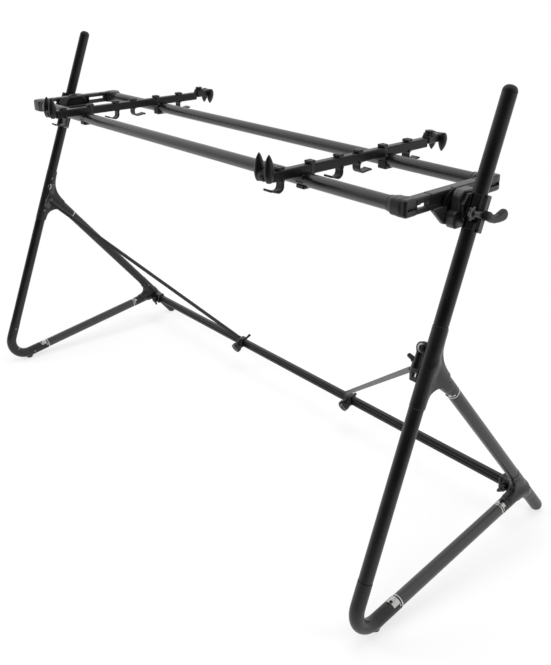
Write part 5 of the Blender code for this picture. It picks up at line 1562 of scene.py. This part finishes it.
    def lever(self, centre: Array) -> None:
        """The lever: a knurled hub and a curved leaf with a thick round tip.

        The hub's radius at angle u is R - 0.0005 * (0.5 + 0.5 cos 16u).
        """
        start = centre + X_AXIS * 0.0188 + np.array([0, 0.002, -0.002])
        steps = 128
        around = np.arange(steps) * 2 * np.pi / steps
        knurl = 0.0008 * (0.5 + 0.5 * np.cos(16 * around))
        heights = np.array([0, 0, 0.0008, 0.0020, 0.0082, 0.0094, 0.0100, 0.0100])
        base = np.array([0.004, 0.0070, 0.0078, 0.0078, 0.0078, 0.0074, 0.0064, 0.004])
        share = np.array([0, 0, 0.3, 1, 1, 0.6, 0, 0])
        radii = base[:, None] - share[:, None] * knurl
        ring = np.cos(around)[:, None] * Y_AXIS + np.sin(around)[:, None] * Z_AXIS
        points = start + heights[:, None, None] * X_AXIS + radii[..., None] * ring
        rows = len(heights)
        points = np.concatenate([points.reshape(-1, 3), [start, start + X_AXIS * 0.010]])
        ends = (rows * steps, rows * steps + 1)
        hub = Surface(points, [grid_faces(rows, steps), cap_fans(rows, steps, ends)])
        label = self.side.label
        self.put("lever_hub", hub, SOFT_PLASTIC, (), f"clamp_lever_{label}")
        tip = (0.0408, -0.0058)
        outline = np.concatenate([
            [(-0.004, 0.005), (-0.006, -0.004), (0.004, -0.0110), (0.016, -0.0150), (0.030, -0.0162)],
            arc_points(tip, 0.0100, -math.radians(92), math.radians(105), 14),
            [(0.032, 0.0018), (0.024, -0.0012), (0.014, -0.0008), (0.006, 0.0050)]])
        leaf = slab(outline, start + X_AXIS * 0.0057, Y_AXIS, Z_AXIS, 0.0108, 0.0046)
        surface = leaf.skin(start + np.array([-0.001, -0.010, -0.022]), start + np.array([0.0125, 0.052, 0.008]), 0.0007)
        self.put("lever_leaf", surface, BLACK_PLASTIC, [f"clamp_lever_{label}"], f"clamp_lever_{label}")


def star_washer(at: Array, out: Array, radius: float, height: float) -> Surface:
    """A six-pointed plate with rounded tips: the radius is R * (0.84 + 0.16 cos 6u)."""
    first, second, along = axes_along(out, X_AXIS if abs(unit(out)[0]) < 0.9 else Y_AXIS)
    steps = 96
    around = np.arange(steps) * 2 * np.pi / steps
    star = radius * (0.86 + 0.14 * np.cos(6 * around))
    heights = np.array([0, 0, 0.2, 0.8, 1.0, 1.0]) * height
    shares = np.array([0.4, 0.94, 1.0, 1.0, 0.94, 0.4])
    radii = shares[:, None] * star
    ring = np.cos(around)[:, None] * first + np.sin(around)[:, None] * second
    points = at + heights[:, None, None] * along + radii[..., None] * ring
    points = np.concatenate([points.reshape(-1, 3), [at, at + along * height]])
    rows = len(heights)
    return Surface(points, [grid_faces(rows, steps), cap_fans(rows, steps, (rows * steps, rows * steps + 1))])


# ---------------------------------------------------------------------------------------------------------
# The bed, given level about its tilt axis and then hung in its place

RAIL_Y = {End.FRONT: -0.1059, End.REAR: 0.1105}
RAIL_RADIUS = 0.0126
BED_RISE = 0.0173
ARM_RISE = BED_RISE + 0.0172


@dataclass
class Bed:
    """The tilting bed: two round rails, four corner elbows and two slotted side bars with their discs."""

    rail_end: float = 0.621
    outer_x: float = 0.642
    thickness: float = 0.019
    tall: float = 0.028
    block_length: float = 0.060
    sleeve_wall: float = 0.0014
    slots: dict[End, tuple[float, float]] = field(
        default_factory=lambda: {End.FRONT: (0.0575, 0.0830), End.REAR: (0.0400, 0.0860)})
    web: float = 0.0075
    overhang: dict[End, float] = field(default_factory=lambda: {End.FRONT: -0.0030, End.REAR: 0.0060})
    corner: dict[End, float] = field(default_factory=lambda: {End.FRONT: 0.0024, End.REAR: 0.0045})

    def rails(self) -> None:
        """The rails, with a rolled rim at each end."""
        for end in End:
            radius, wall, half = RAIL_RADIUS, 0.0016, self.rail_end
            profile = [(radius - wall, -half), (radius - 0.0004, -half), (radius, 0.0004 - half), (radius, half - 0.0004),
                       (radius - 0.0004, half), (radius - wall, half), (radius - wall, -half)]
            rail = lathe(profile, np.array([0, RAIL_Y[end], BED_RISE]), X_AXIS, 72)
            piece(f"round_rail_{end.label}", hung(rail), BLACK_RAIL, "bed", [f"bed_rail_{end.label}"])

    def block_edge(self, end: End) -> float:
        """The Y of a corner block's outer end."""
        return RAIL_Y[end] + end.value * (RAIL_RADIUS + self.sleeve_wall + self.overhang[end])

    def slot_cutter(self, end: End) -> Solid:
        """The slot through a side bar and its corner block."""
        start, finish = self.slots[end]
        middle = (self.outer_x - self.thickness / 2, end.value * (start + finish) / 2, BED_RISE - 0.0004)
        return brick(middle, (0.06, finish - start, 0.0080 if end is End.FRONT else 0.0064), 0.0018)

    def room(self, end: End) -> Solid:
        """The open inside of a side bar behind its slot, where the bar is a wall with a flange on top."""
        start, finish = (end.value * along for along in self.slots[end])
        size = (0.0165, abs(finish - start) + 0.010, self.tall)
        middle = (self.outer_x - self.web - size[0] / 2, (start + finish) / 2, BED_RISE - 0.0036)
        return brick(middle, size, 0.0015)

    def corners(self) -> None:
        """The corner elbows: a sleeve with a shoulder for the rail, and an arm round the side bar's end."""
        for end in End:
            edge, inward = self.block_edge(end), -end.value
            middle_x, rail_y = self.outer_x - self.thickness / 2, RAIL_Y[end]
            centre = (middle_x, edge + inward * self.block_length / 2, BED_RISE)
            half_x, half_y = self.thickness / 2, self.block_length / 2
            outline = round_corners(box_corners(2 * half_x, 2 * half_y), self.corner[end], 5)
            body = slab(outline, np.array(centre), X_AXIS, Y_AXIS, self.tall, 0.0030)
            start = np.array([self.outer_x - self.thickness + 0.006, rail_y, BED_RISE])
            stop = np.array([0.600, rail_y, BED_RISE])
            radius = RAIL_RADIUS + self.sleeve_wall
            shoulder = np.array([(0.608 + self.outer_x) / 2, rail_y, BED_RISE])
            size = (self.outer_x - 0.608, 2 * radius, self.tall)
            body = body.melt(brick(shoulder, size, 0.0048), 0.0040).melt(rod(start, stop, radius, 0.0008), 0.0060)
            groove = (self.outer_x + 0.001, edge + inward * 0.0215, BED_RISE - 0.0010)
            body = body.carve(brick(groove, (0.0140, 0.040, 0.0062), 0.0012), 0.0006)
            body = body.carve(self.room(end), 0.0010)
            body = body.carve(self.slot_cutter(end), 0.0010)
            body = body.carve(rod((0.50, rail_y, BED_RISE), (self.rail_end + 0.0004, rail_y, BED_RISE),
                                  RAIL_RADIUS + 0.0003), 0.0005)
            ends = (edge, edge + inward * self.block_length, rail_y - radius, rail_y + radius)
            low, high = (0.599, min(ends), BED_RISE - 0.0150), (self.outer_x, max(ends), BED_RISE + 0.0150)
            surface = hung(body.skin(low, high, 0.0008))
            pair(f"corner_elbow_{end.label}", surface, BED_CAST, "bed", [f"corner_block_{end.label}"], 50)
            heads = [screw_head(np.array([middle_x, edge + inward * reach, BED_RISE - self.tall / 2 - 0.0002]), -Z_AXIS,
                                0.0028, 0.0013) for reach in (0.012, 0.022)]
            pair(f"corner_screws_{end.label}", hung(joined(heads)), ZINC, "bed")

    def side_bars(self) -> None:
        """The slotted bars, and the disc and gusset of the tilt joint on their outer side."""
        front, rear = (self.block_edge(end) - end.value * (self.block_length + 0.0003) for end in End)
        centre = (self.outer_x - self.thickness / 2, (front + rear) / 2, BED_RISE)
        body = brick(centre, (self.thickness, rear - front, self.tall), 0.0022)
        for end in End:
            body = body.carve(self.room(end), 0.0010).carve(self.slot_cutter(end), 0.0010)
            hollow = (self.outer_x, end.value * 0.058, BED_RISE + 0.0004)
            body = body.carve(brick(hollow, (0.0076, 0.070, 0.0150), 0.0016), 0.0008)
        pocket = (self.outer_x - self.thickness + 0.0030, -0.008, BED_RISE - 0.0010)
        body = body.carve(brick(pocket, (0.0170, 0.084, 0.0205), 0.0016), 0.0010)
        low = (self.outer_x - self.thickness, front, BED_RISE - self.tall / 2)
        surface = body.skin(low, (self.outer_x, rear, BED_RISE + self.tall / 2), 0.0008)
        pair("side_bar", hung(surface), BED_CAST, "bed", ["side_member"], 50)
        rings = [(0, -0.0040), (0.0300, -0.0040), (0.0315, -0.0030), (0.0315, 0.0070), (0.0305, 0.0080), (0.0270, 0.0082),
                 (0.0262, 0.0074), (0.0232, 0.0074), (0.0224, 0.0084), (0, 0.0085)]
        disc = lathe(rings, np.array([self.outer_x - 0.0040, 0.0, 0.0]), X_AXIS, 96)
        # The disc takes the darker, duller copy of the plastic: painted shade for its place in the recess beside the
        # side bar.
        pair("tilt_disc", hung(disc), PAINTED_SHADE_PLASTIC, "bed")
        half, drop, top = 0.055, 0.0305, BED_RISE - 0.0105
        corners = [(-half, top), (-half, top - 0.004), (-half / 2, -drop * 0.8), (0.0, -drop), (half / 2, -drop * 0.8),
                   (half, top - 0.004), (half, top)]
        outline = round_corners(corners, 0.010, 6)
        gusset = slab(outline, np.array([self.outer_x + 0.0002, 0, 0]), Y_AXIS, Z_AXIS, 0.0084, 0.0024)
        hollow = round_corners([(y * 0.86, min(z * 0.80, top - 0.004)) for y, z in corners], 0.008, 6)
        gusset = gusset.carve(slab(hollow, np.array([self.outer_x - 0.0052, 0, 0]), Y_AXIS, Z_AXIS, 0.006, 0.001), 0.001)
        low, high = (self.outer_x - 0.0042, -half, -drop), (self.outer_x + 0.0046, half, top)
        # The gusset takes the lightened cast paint, which paints light onto it.
        pair("tilt_gusset", hung(gusset.skin(low, high, 0.0008)), PAINTED_LIGHT_CAST, "bed", sharp=50)

    def build(self) -> None:
        """Builds the whole bed."""
        self.rails()
        self.corners()
        self.side_bars()


def hung(surface: Surface, shift: float = 0.0) -> Surface:
    """A surface of the level bed, moved along X, tilted by a quarter of a degree and put on the tilt axis."""
    angle = math.radians(0.25)
    turn = np.array([[1, 0, 0], [0, math.cos(angle), -math.sin(angle)], [0, math.sin(angle), math.cos(angle)]])
    points = (surface.points + [shift, 0, 0]) @ turn.T + [0.0, -0.032601, 0.7198]
    return Surface(points, surface.faces)


# ---------------------------------------------------------------------------------------------------------
# The support arms


@dataclass
class SupportArms:
    """Both arms with their rail clamps, cable hooks and stops, worked out once at X = 0."""

    places: dict[Side, float] = field(default_factory=lambda: {Side.RIGHT: 0.400, Side.LEFT: -0.383})
    width: float = 0.0165
    tall: float = 0.0185
    front: float = -0.186
    rear: float = 0.222
    band: float = 0.0005
    gap: float = 0.0003
    hooks: tuple[tuple[float, int], ...] = ((-0.165, -1), (-0.022, -1), (0.029, 1), (0.168, 1))

    def put(self, words: str, surface: Surface, finish: Finish, nodes: Sequence[str] = (), body: str = "arm",
            sharp: float = 50.0) -> None:
        """Makes a piece of both arms, hung in its place. The names have {} where the side's name goes."""
        for side, place in self.places.items():
            piece(words.format(side.label), hung(surface, place), finish, f"{body}_{side.label}",
                  [node.format(side.label) for node in nodes], sharp)

    def at(self, y: float, z: float) -> Array:
        """A point over the arm's middle line, measured from its centre."""
        return np.array([0.0, y, ARM_RISE + z])

    def rail_line(self, end: End, radius: float) -> Solid:
        """A long rod along a rail."""
        y = RAIL_Y[end]
        return rod((-0.2, y, BED_RISE), (0.2, y, BED_RISE), radius)

    def bar(self) -> None:
        """The bar: a box profile with round edges, seated on both rails."""
        middle = (self.front + self.rear) / 2
        body = brick(self.at(middle, 0), (self.width, self.rear - self.front, self.tall), 0.0026)
        for end in End:
            body = body.carve(self.rail_line(end, RAIL_RADIUS + 0.0003), 0.0006)
        half = np.array([self.width / 2, 0, self.tall / 2])
        surface = body.skin(self.at(self.front, 0) - half, self.at(self.rear, 0) + half, 0.0009)
        self.put("support_bar_{}", surface, ARM_PAINT, ["arm_bar_{}"])

    def clip(self, y: float) -> Solid:
        """A thin band round the bar, with a low lump on top that has a notch across its middle."""
        grow, tall = 2 * (self.gap + self.band), 0.0055
        band = brick(self.at(y, 0), (self.width + grow, 0.0100, self.tall + grow), 0.0014)
        place = self.at(y, self.tall / 2 + self.gap + tall / 2)
        lump = brick(place, (self.width * 0.94, 0.0156, tall), 0.0018)
        waist = place + Z_AXIS * (tall / 2 + 0.0006)
        lump = lump.carve(brick(waist, (0.0040, 0.0080, 0.0026), 0.0008), 0.0008)
        for side in (-1, 1):
            chamfer = place + np.array([0, side * 0.0094, tall / 2 + 0.0006])
            lump = lump.carve(brick(chamfer, (0.05, 0.0050, 0.0044), 0.0006), 0.0012)
        return band.melt(lump, 0.0010)

    def channel(self) -> Solid:
        """The room for the bar through a band."""
        size = (self.width + 2 * self.gap, 2.0, self.tall + 2 * self.gap)
        return brick(self.at(0, 0), size, 0.0010)

    def hook(self, facing: int) -> Surface:
        """A cable hook at y = 0: a clip, and a curved strap below that ends in a rolled lip."""
        reach, rise = (0.0265, 0.006) if facing < 0 else (0.0285, 0.0025)
        wall, bend = 0.0030, 0.0115
        low = -self.tall / 2 - self.gap - self.band / 2
        bottom = low - 0.020
        back = -facing * 0.0045
        middle = (back + facing * bend, bottom + bend)
        start = math.pi if facing > 0 else 0.0
        sweep = facing * math.radians(92 + 2000 * rise)
        curve = arc_points(middle, bend - wall / 2, start, start + sweep, 16)
        lip = [(facing * (reach - 0.0012), bottom + rise + 0.0012)]
        path = np.concatenate([[(back + facing * wall / 2, low)], curve, lip])
        strap = strip(path, self.at(0, 0), Y_AXIS, Z_AXIS, wall, self.width + 0.0030, 0.0012)
        tip = self.at(facing * (reach - 0.0012), bottom + rise + 0.0014)
        half = self.width / 2 + 0.0015
        roll = rod(tip - X_AXIS * half, tip + X_AXIS * half, 0.0018, 0.0008)
        body = self.clip(0.0).melt(strap.melt(roll, 0.002), 0.0045).carve(self.channel(), 0.0006)
        half += 0.0009
        return body.skin((-half, -0.030, ARM_RISE - 0.034), (half, 0.031, ARM_RISE + 0.0165), 0.0008)

    def rail_clamp(self, end: End) -> None:
        """The clamp on a rail: a saddle below the bar, jaws round the rail with a slit, a screw, and a clip."""
        y, inward = RAIL_Y[end], -end.value
        top, bottom = 0.0030 - self.tall / 2, BED_RISE - RAIL_RADIUS - 0.0035 - ARM_RISE
        width = self.width + 0.0046
        body = brick(self.at(y + inward * 0.0010, (top + bottom) / 2), (width, 0.0285, top - bottom), 0.0022)
        body = body.melt(self.clip(y + inward * 0.0135), 0.0012)
        body = body.carve(self.channel(), 0.0006)
        body = body.carve(self.rail_line(end, RAIL_RADIUS + 0.0003), 0.0006)
        cut = self.at(y + end.value * 0.0150, bottom + 0.003)
        body = body.carve(brick(cut, (0.05, 0.0080, 0.014), 0.0020), 0.0030)
        slit = np.array([0.0, y + inward * 0.013, BED_RISE])
        body = body.carve(brick(slit, (0.05, 0.010, 0.0016), 0.0005), 0.0005)
        low = (-width / 2, y - 0.028, ARM_RISE + bottom)
        surface = body.skin(low, (width / 2, y + 0.028, ARM_RISE + 0.0165), 0.0008)
        words = f"rail_clamp_{end.label}"
        self.put(words + "_body_{}", surface, BLACK_PLASTIC, [words + "_{}"])
        head = self.at(y, bottom - 0.0001)
        self.put(words + "_screw_{}", screw_head(head + Z_AXIS * 0.0004, -Z_AXIS, 0.0030, 0.0016), ZINC)

    def stop(self, end: End) -> None:
        """A stop: a turning block on the bar's end, a bridge, and two leaf-shaped horns."""
        outward = end.value
        length, tall = (0.020, 0.017) if end is End.FRONT else (0.050, 0.017)
        bar_end = self.front if end is End.FRONT else self.rear
        axis = self.at(bar_end + outward * (length / 2 + self.gap), 0.0050)
        horn_at = axis + Y_AXIS * outward * (length / 2 - 0.0086)
        if end is End.FRONT:
            foot, tip = horn_at - Z_AXIS * 0.0110, horn_at + Z_AXIS * 0.0380
            block = brick(axis - Z_AXIS * 0.001, (self.width + 0.002, length, tall), 0.0050)
            bridge = brick(horn_at - np.array([0, outward * 0.0030, 0.0045]), (0.028, 0.0080, 0.0090), 0.0034)
        else:
            foot, tip = horn_at + Z_AXIS * 0.0100, horn_at - np.array([0, 0.0040, 0.0272])
            block = brick(axis, (self.width + 0.003, length, tall), 0.0040)
            bridge = brick(horn_at + Z_AXIS * 0.0010, (0.036, 0.0120, 0.0130), 0.0040)
        body = block.melt(bridge, 0.0030)
        for offset in (-0.0128, 0.0128):
            body = body.melt(spire(foot + X_AXIS * offset, tip + X_AXIS * offset, 0.0084, 0.0092), 0.0016)
        reach = sorted((bar_end, bar_end + outward * (length + 0.001)))
        low = np.array([-0.022, reach[0] - 0.0005, ARM_RISE - 0.028])
        surface = body.skin(low, (0.022, reach[1] + 0.0005, ARM_RISE + 0.045), 0.0008)
        words = f"{end.label}_stop"
        self.put(words + "_horns_{}", surface, BLACK_PLASTIC, [words + "_{}"], words)
        if end is End.REAR:
            self.stop_knob(axis, length, tall, words)
        pin = axis + Y_AXIS * outward * (length / 2 - 0.0002)
        self.put(words + "_pivot_{}", screw_head(pin, Y_AXIS * outward, 0.0034, 0.0012), DARK_SCREW, (), words)

    def stop_knob(self, axis: Array, length: float, tall: float, body: str) -> None:
        """The push knob on a rear stop: a waisted, ribbed cap.

        The radius at angle u is R(v) - 0.0010 * (0.5 + 0.5 cos 12u) on the rows of the base and the cap.
        """
        base = axis + Y_AXIS * (-length * 0.26) + Z_AXIS * (tall / 2 - 0.003)
        steps = 96
        around = np.arange(steps) * 2 * np.pi / steps
        knurl = 0.0010 * (0.5 + 0.5 * np.cos(12 * around))
        heights = np.array([0, 0, 0.0055, 0.0063, 0.0070, 0.0074, 0.0078, 0.0110, 0.0115, 0.0115])
        radii = np.array([0.002, 0.0118, 0.0118, 0.0110, 0.0078, 0.0078, 0.0088, 0.0088, 0.0080, 0.002])
        share = np.array([0, 1, 1, 0.5, 0, 0, 0.5, 0.5, 0, 0])
        ring = np.cos(around)[:, None] * X_AXIS + np.sin(around)[:, None] * Y_AXIS
        points = base + heights[:, None, None] * Z_AXIS + (radii[:, None] - share[:, None] * knurl)[..., None] * ring
        rows = len(heights)
        points = np.concatenate([points.reshape(-1, 3), [base, base + Z_AXIS * heights[-1]]])
        ends = (rows * steps, rows * steps + 1)
        knob = Surface(points, [grid_faces(rows, steps), cap_fans(rows, steps, ends)])
        self.put("rear_stop_knob_{}", knob, SOFT_PLASTIC, (), body, 40)

    def build(self) -> None:
        """Builds both arms."""
        self.bar()
        made = {facing: self.hook(facing) for facing in (-1, 1)}
        for number, (y, facing) in enumerate(self.hooks, 1):
            strap = Surface(made[facing].points + [0, y, 0], made[facing].faces)
            self.put(f"hook_strap_{{}}_{number}", strap, BLACK_PLASTIC, [f"cable_hook_{{}}_{number}"])
        for end in End:
            self.rail_clamp(end)
            self.stop(end)


# ---------------------------------------------------------------------------------------------------------
# The studio


@dataclass
class Studio:
    """The floor, the soft lights and the camera."""

    place: Colour = (1.40991, -1.08004, 1.09935)
    right: Colour = (0.6553, 0.7554, -0.0028)
    up: Colour = (-0.2510, 0.2212, 0.9424)
    ahead: Colour = (-0.7125, 0.6168, -0.3345)
    lens: float = 43.884
    shift: float = -0.1282
    floor_radius: float = 1.5
    own_light: float = 0.70
    ambient: float = 0.45
    front_dark: float = 0.03
    behind: Colour = (-0.40, 0.92, 0.0)
    glossy_range: tuple[float, float] = (-0.92, 0.15)

    def camera(self) -> None:
        """The camera at the photograph's viewpoint."""
        data = bpy.data.cameras.new("view")
        data.sensor_width, data.sensor_fit, data.lens = 36.0, "AUTO", self.lens
        data.shift_y, data.clip_start, data.clip_end = self.shift, 0.02, 60.0
        made = bpy.data.objects.new("view", data)
        right, ahead = unit(np.array(self.right)), unit(np.array(self.ahead))
        up = np.cross(right, ahead)
        turn = Matrix(np.stack([right, up, -ahead], 1).tolist()).to_4x4()
        made.matrix_world = Matrix.Translation(self.place) @ turn
        bpy.context.scene.collection.objects.link(made)
        bpy.context.scene.camera = made

    def light(self, name: str, place: Colour, size: float, power: float, shines: bool = False) -> None:
        """A square soft light that faces the stand, and shows in reflections if it shines."""
        data = bpy.data.lights.new(name, "AREA")
        data.shape, data.size, data.energy = "SQUARE", size, power
        made = bpy.data.objects.new(name, data)
        made.visible_glossy = shines
        target = Vector((0.1, 0.0, 0.45)) - Vector(place)
        made.matrix_world = Matrix.Translation(place) @ target.to_track_quat("-Z", "Y").to_matrix().to_4x4()
        bpy.context.scene.collection.objects.link(made)

    def floor(self) -> None:
        """A plain pale floor, white to the camera and in reflections, that keeps the stand's shadow.

        The part of the floor's own light grows from its share near the stand to all of it at the rim, from
        which on it can't be told from the surroundings.
        """
        tree = ShaderTree("studio_floor")
        shade = tree.node("ShaderNodeBsdfDiffuse", {}, {"Color": (0.86, 0.86, 0.86, 1.0)}, "BSDF")
        glow = tree.node("ShaderNodeEmission", {}, {"Color": (1.0, 1.0, 1.0, 1.0), "Strength": 1.0}, "Emission")
        path = tree.node("ShaderNodeLightPath", output="Is Camera Ray")
        seen = [path, Wire(tree, path.socket.node.outputs["Is Glossy Ray"]),
                Wire(tree, path.socket.node.outputs["Is Transmission Ray"])]
        far = tree.node("ShaderNodeVectorMath", {"operation": "LENGTH"}, {0: tree.place()}, "Value")
        share = far.between(self.floor_radius * 0.72, self.floor_radius * 0.98) * (1 - self.own_light) + self.own_light
        factor = (seen[0] + seen[1] + seen[2]) * share
        mixed = tree.node("ShaderNodeMixShader", {}, {0: factor, 1: shade, 2: glow}, "Shader")
        output = tree.nodes.new("ShaderNodeOutputMaterial")
        tree.links.new(mixed.socket, output.inputs["Surface"])
        around = np.arange(96) * 2 * np.pi / 96
        rim = np.stack([np.cos(around), np.sin(around), 0 * around], -1) * self.floor_radius
        mesh = bpy.data.meshes.new("floor")
        mesh.from_pydata(rim.tolist(), [], [list(range(96))])
        mesh.materials.append(tree.material)
        made = bpy.data.objects.new("floor", mesh)
        bpy.context.scene.collection.objects.link(made)

    def world(self) -> None:
        """Plain surroundings: white to the camera, white behind the stand in reflections, dim as a light.

        In a reflection the strength runs from the dark of the room's front, d = -0.5, to the white of the
        backdrop, d = 0.25, with d the part of the direction that points to the back of the room.
        """
        tree = ShaderTree("surroundings", world=True)
        path = tree.node("ShaderNodeLightPath", output="Is Camera Ray")
        clear = Wire(tree, path.socket.node.outputs["Is Transmission Ray"])
        glossy = Wire(tree, path.socket.node.outputs["Is Glossy Ray"])
        away = tree.node("ShaderNodeVectorMath", {"operation": "DOT_PRODUCT"},
                         {0: tree.node("ShaderNodeTexCoord", output="Generated"), 1: self.behind}, "Value")
        mirrored = away.between(*self.glossy_range) * (1 - self.front_dark) + self.front_dark
        strength = path + clear + glossy * mirrored + (1 - path - clear - glossy) * self.ambient
        white = tree.node("ShaderNodeBackground", {}, {"Color": (1.0, 1.0, 1.0, 1.0), "Strength": strength})
        output = tree.nodes.new("ShaderNodeOutputWorld")
        tree.links.new(white.socket, output.inputs["Surface"])

    def build(self) -> None:
        """Builds the studio."""
        self.camera()
        self.floor()
        self.world()
        self.light("key", (-1.6, -2.2, 2.6), 1.6, 60.0)
        self.light("top", (0.0, 0.3, 3.2), 2.4, 60.0)
        self.light("rim", (3.0, 1.2, 1.6), 1.6, 40.0)
        bpy.context.scene.view_settings.view_transform = "Standard"


def main() -> None:
    """Builds the studio and every piece."""
    logging.basicConfig(level=logging.INFO, format="%(name)s: %(message)s")
    Studio().build()
    frames = SideFrames()
    frames.build()
    Crossbar(frame=frames).build()
    BraceBracket(frames).build()
    for side, place, pin, foot in ((Side.RIGHT, 0.202, 0.0205, 0.196), (Side.LEFT, 0.222, 0.0300, 0.216)):
        BraceClamp(side, place, pin).build()
        Brace(side, foot).build()
    for side, skirt in ((Side.RIGHT, 0.0), (Side.LEFT, 0.038)):
        PostClamp(frames, side, skirt).build()
    Bed().build()
    SupportArms().build()


if __name__ == "__main__":
    main()
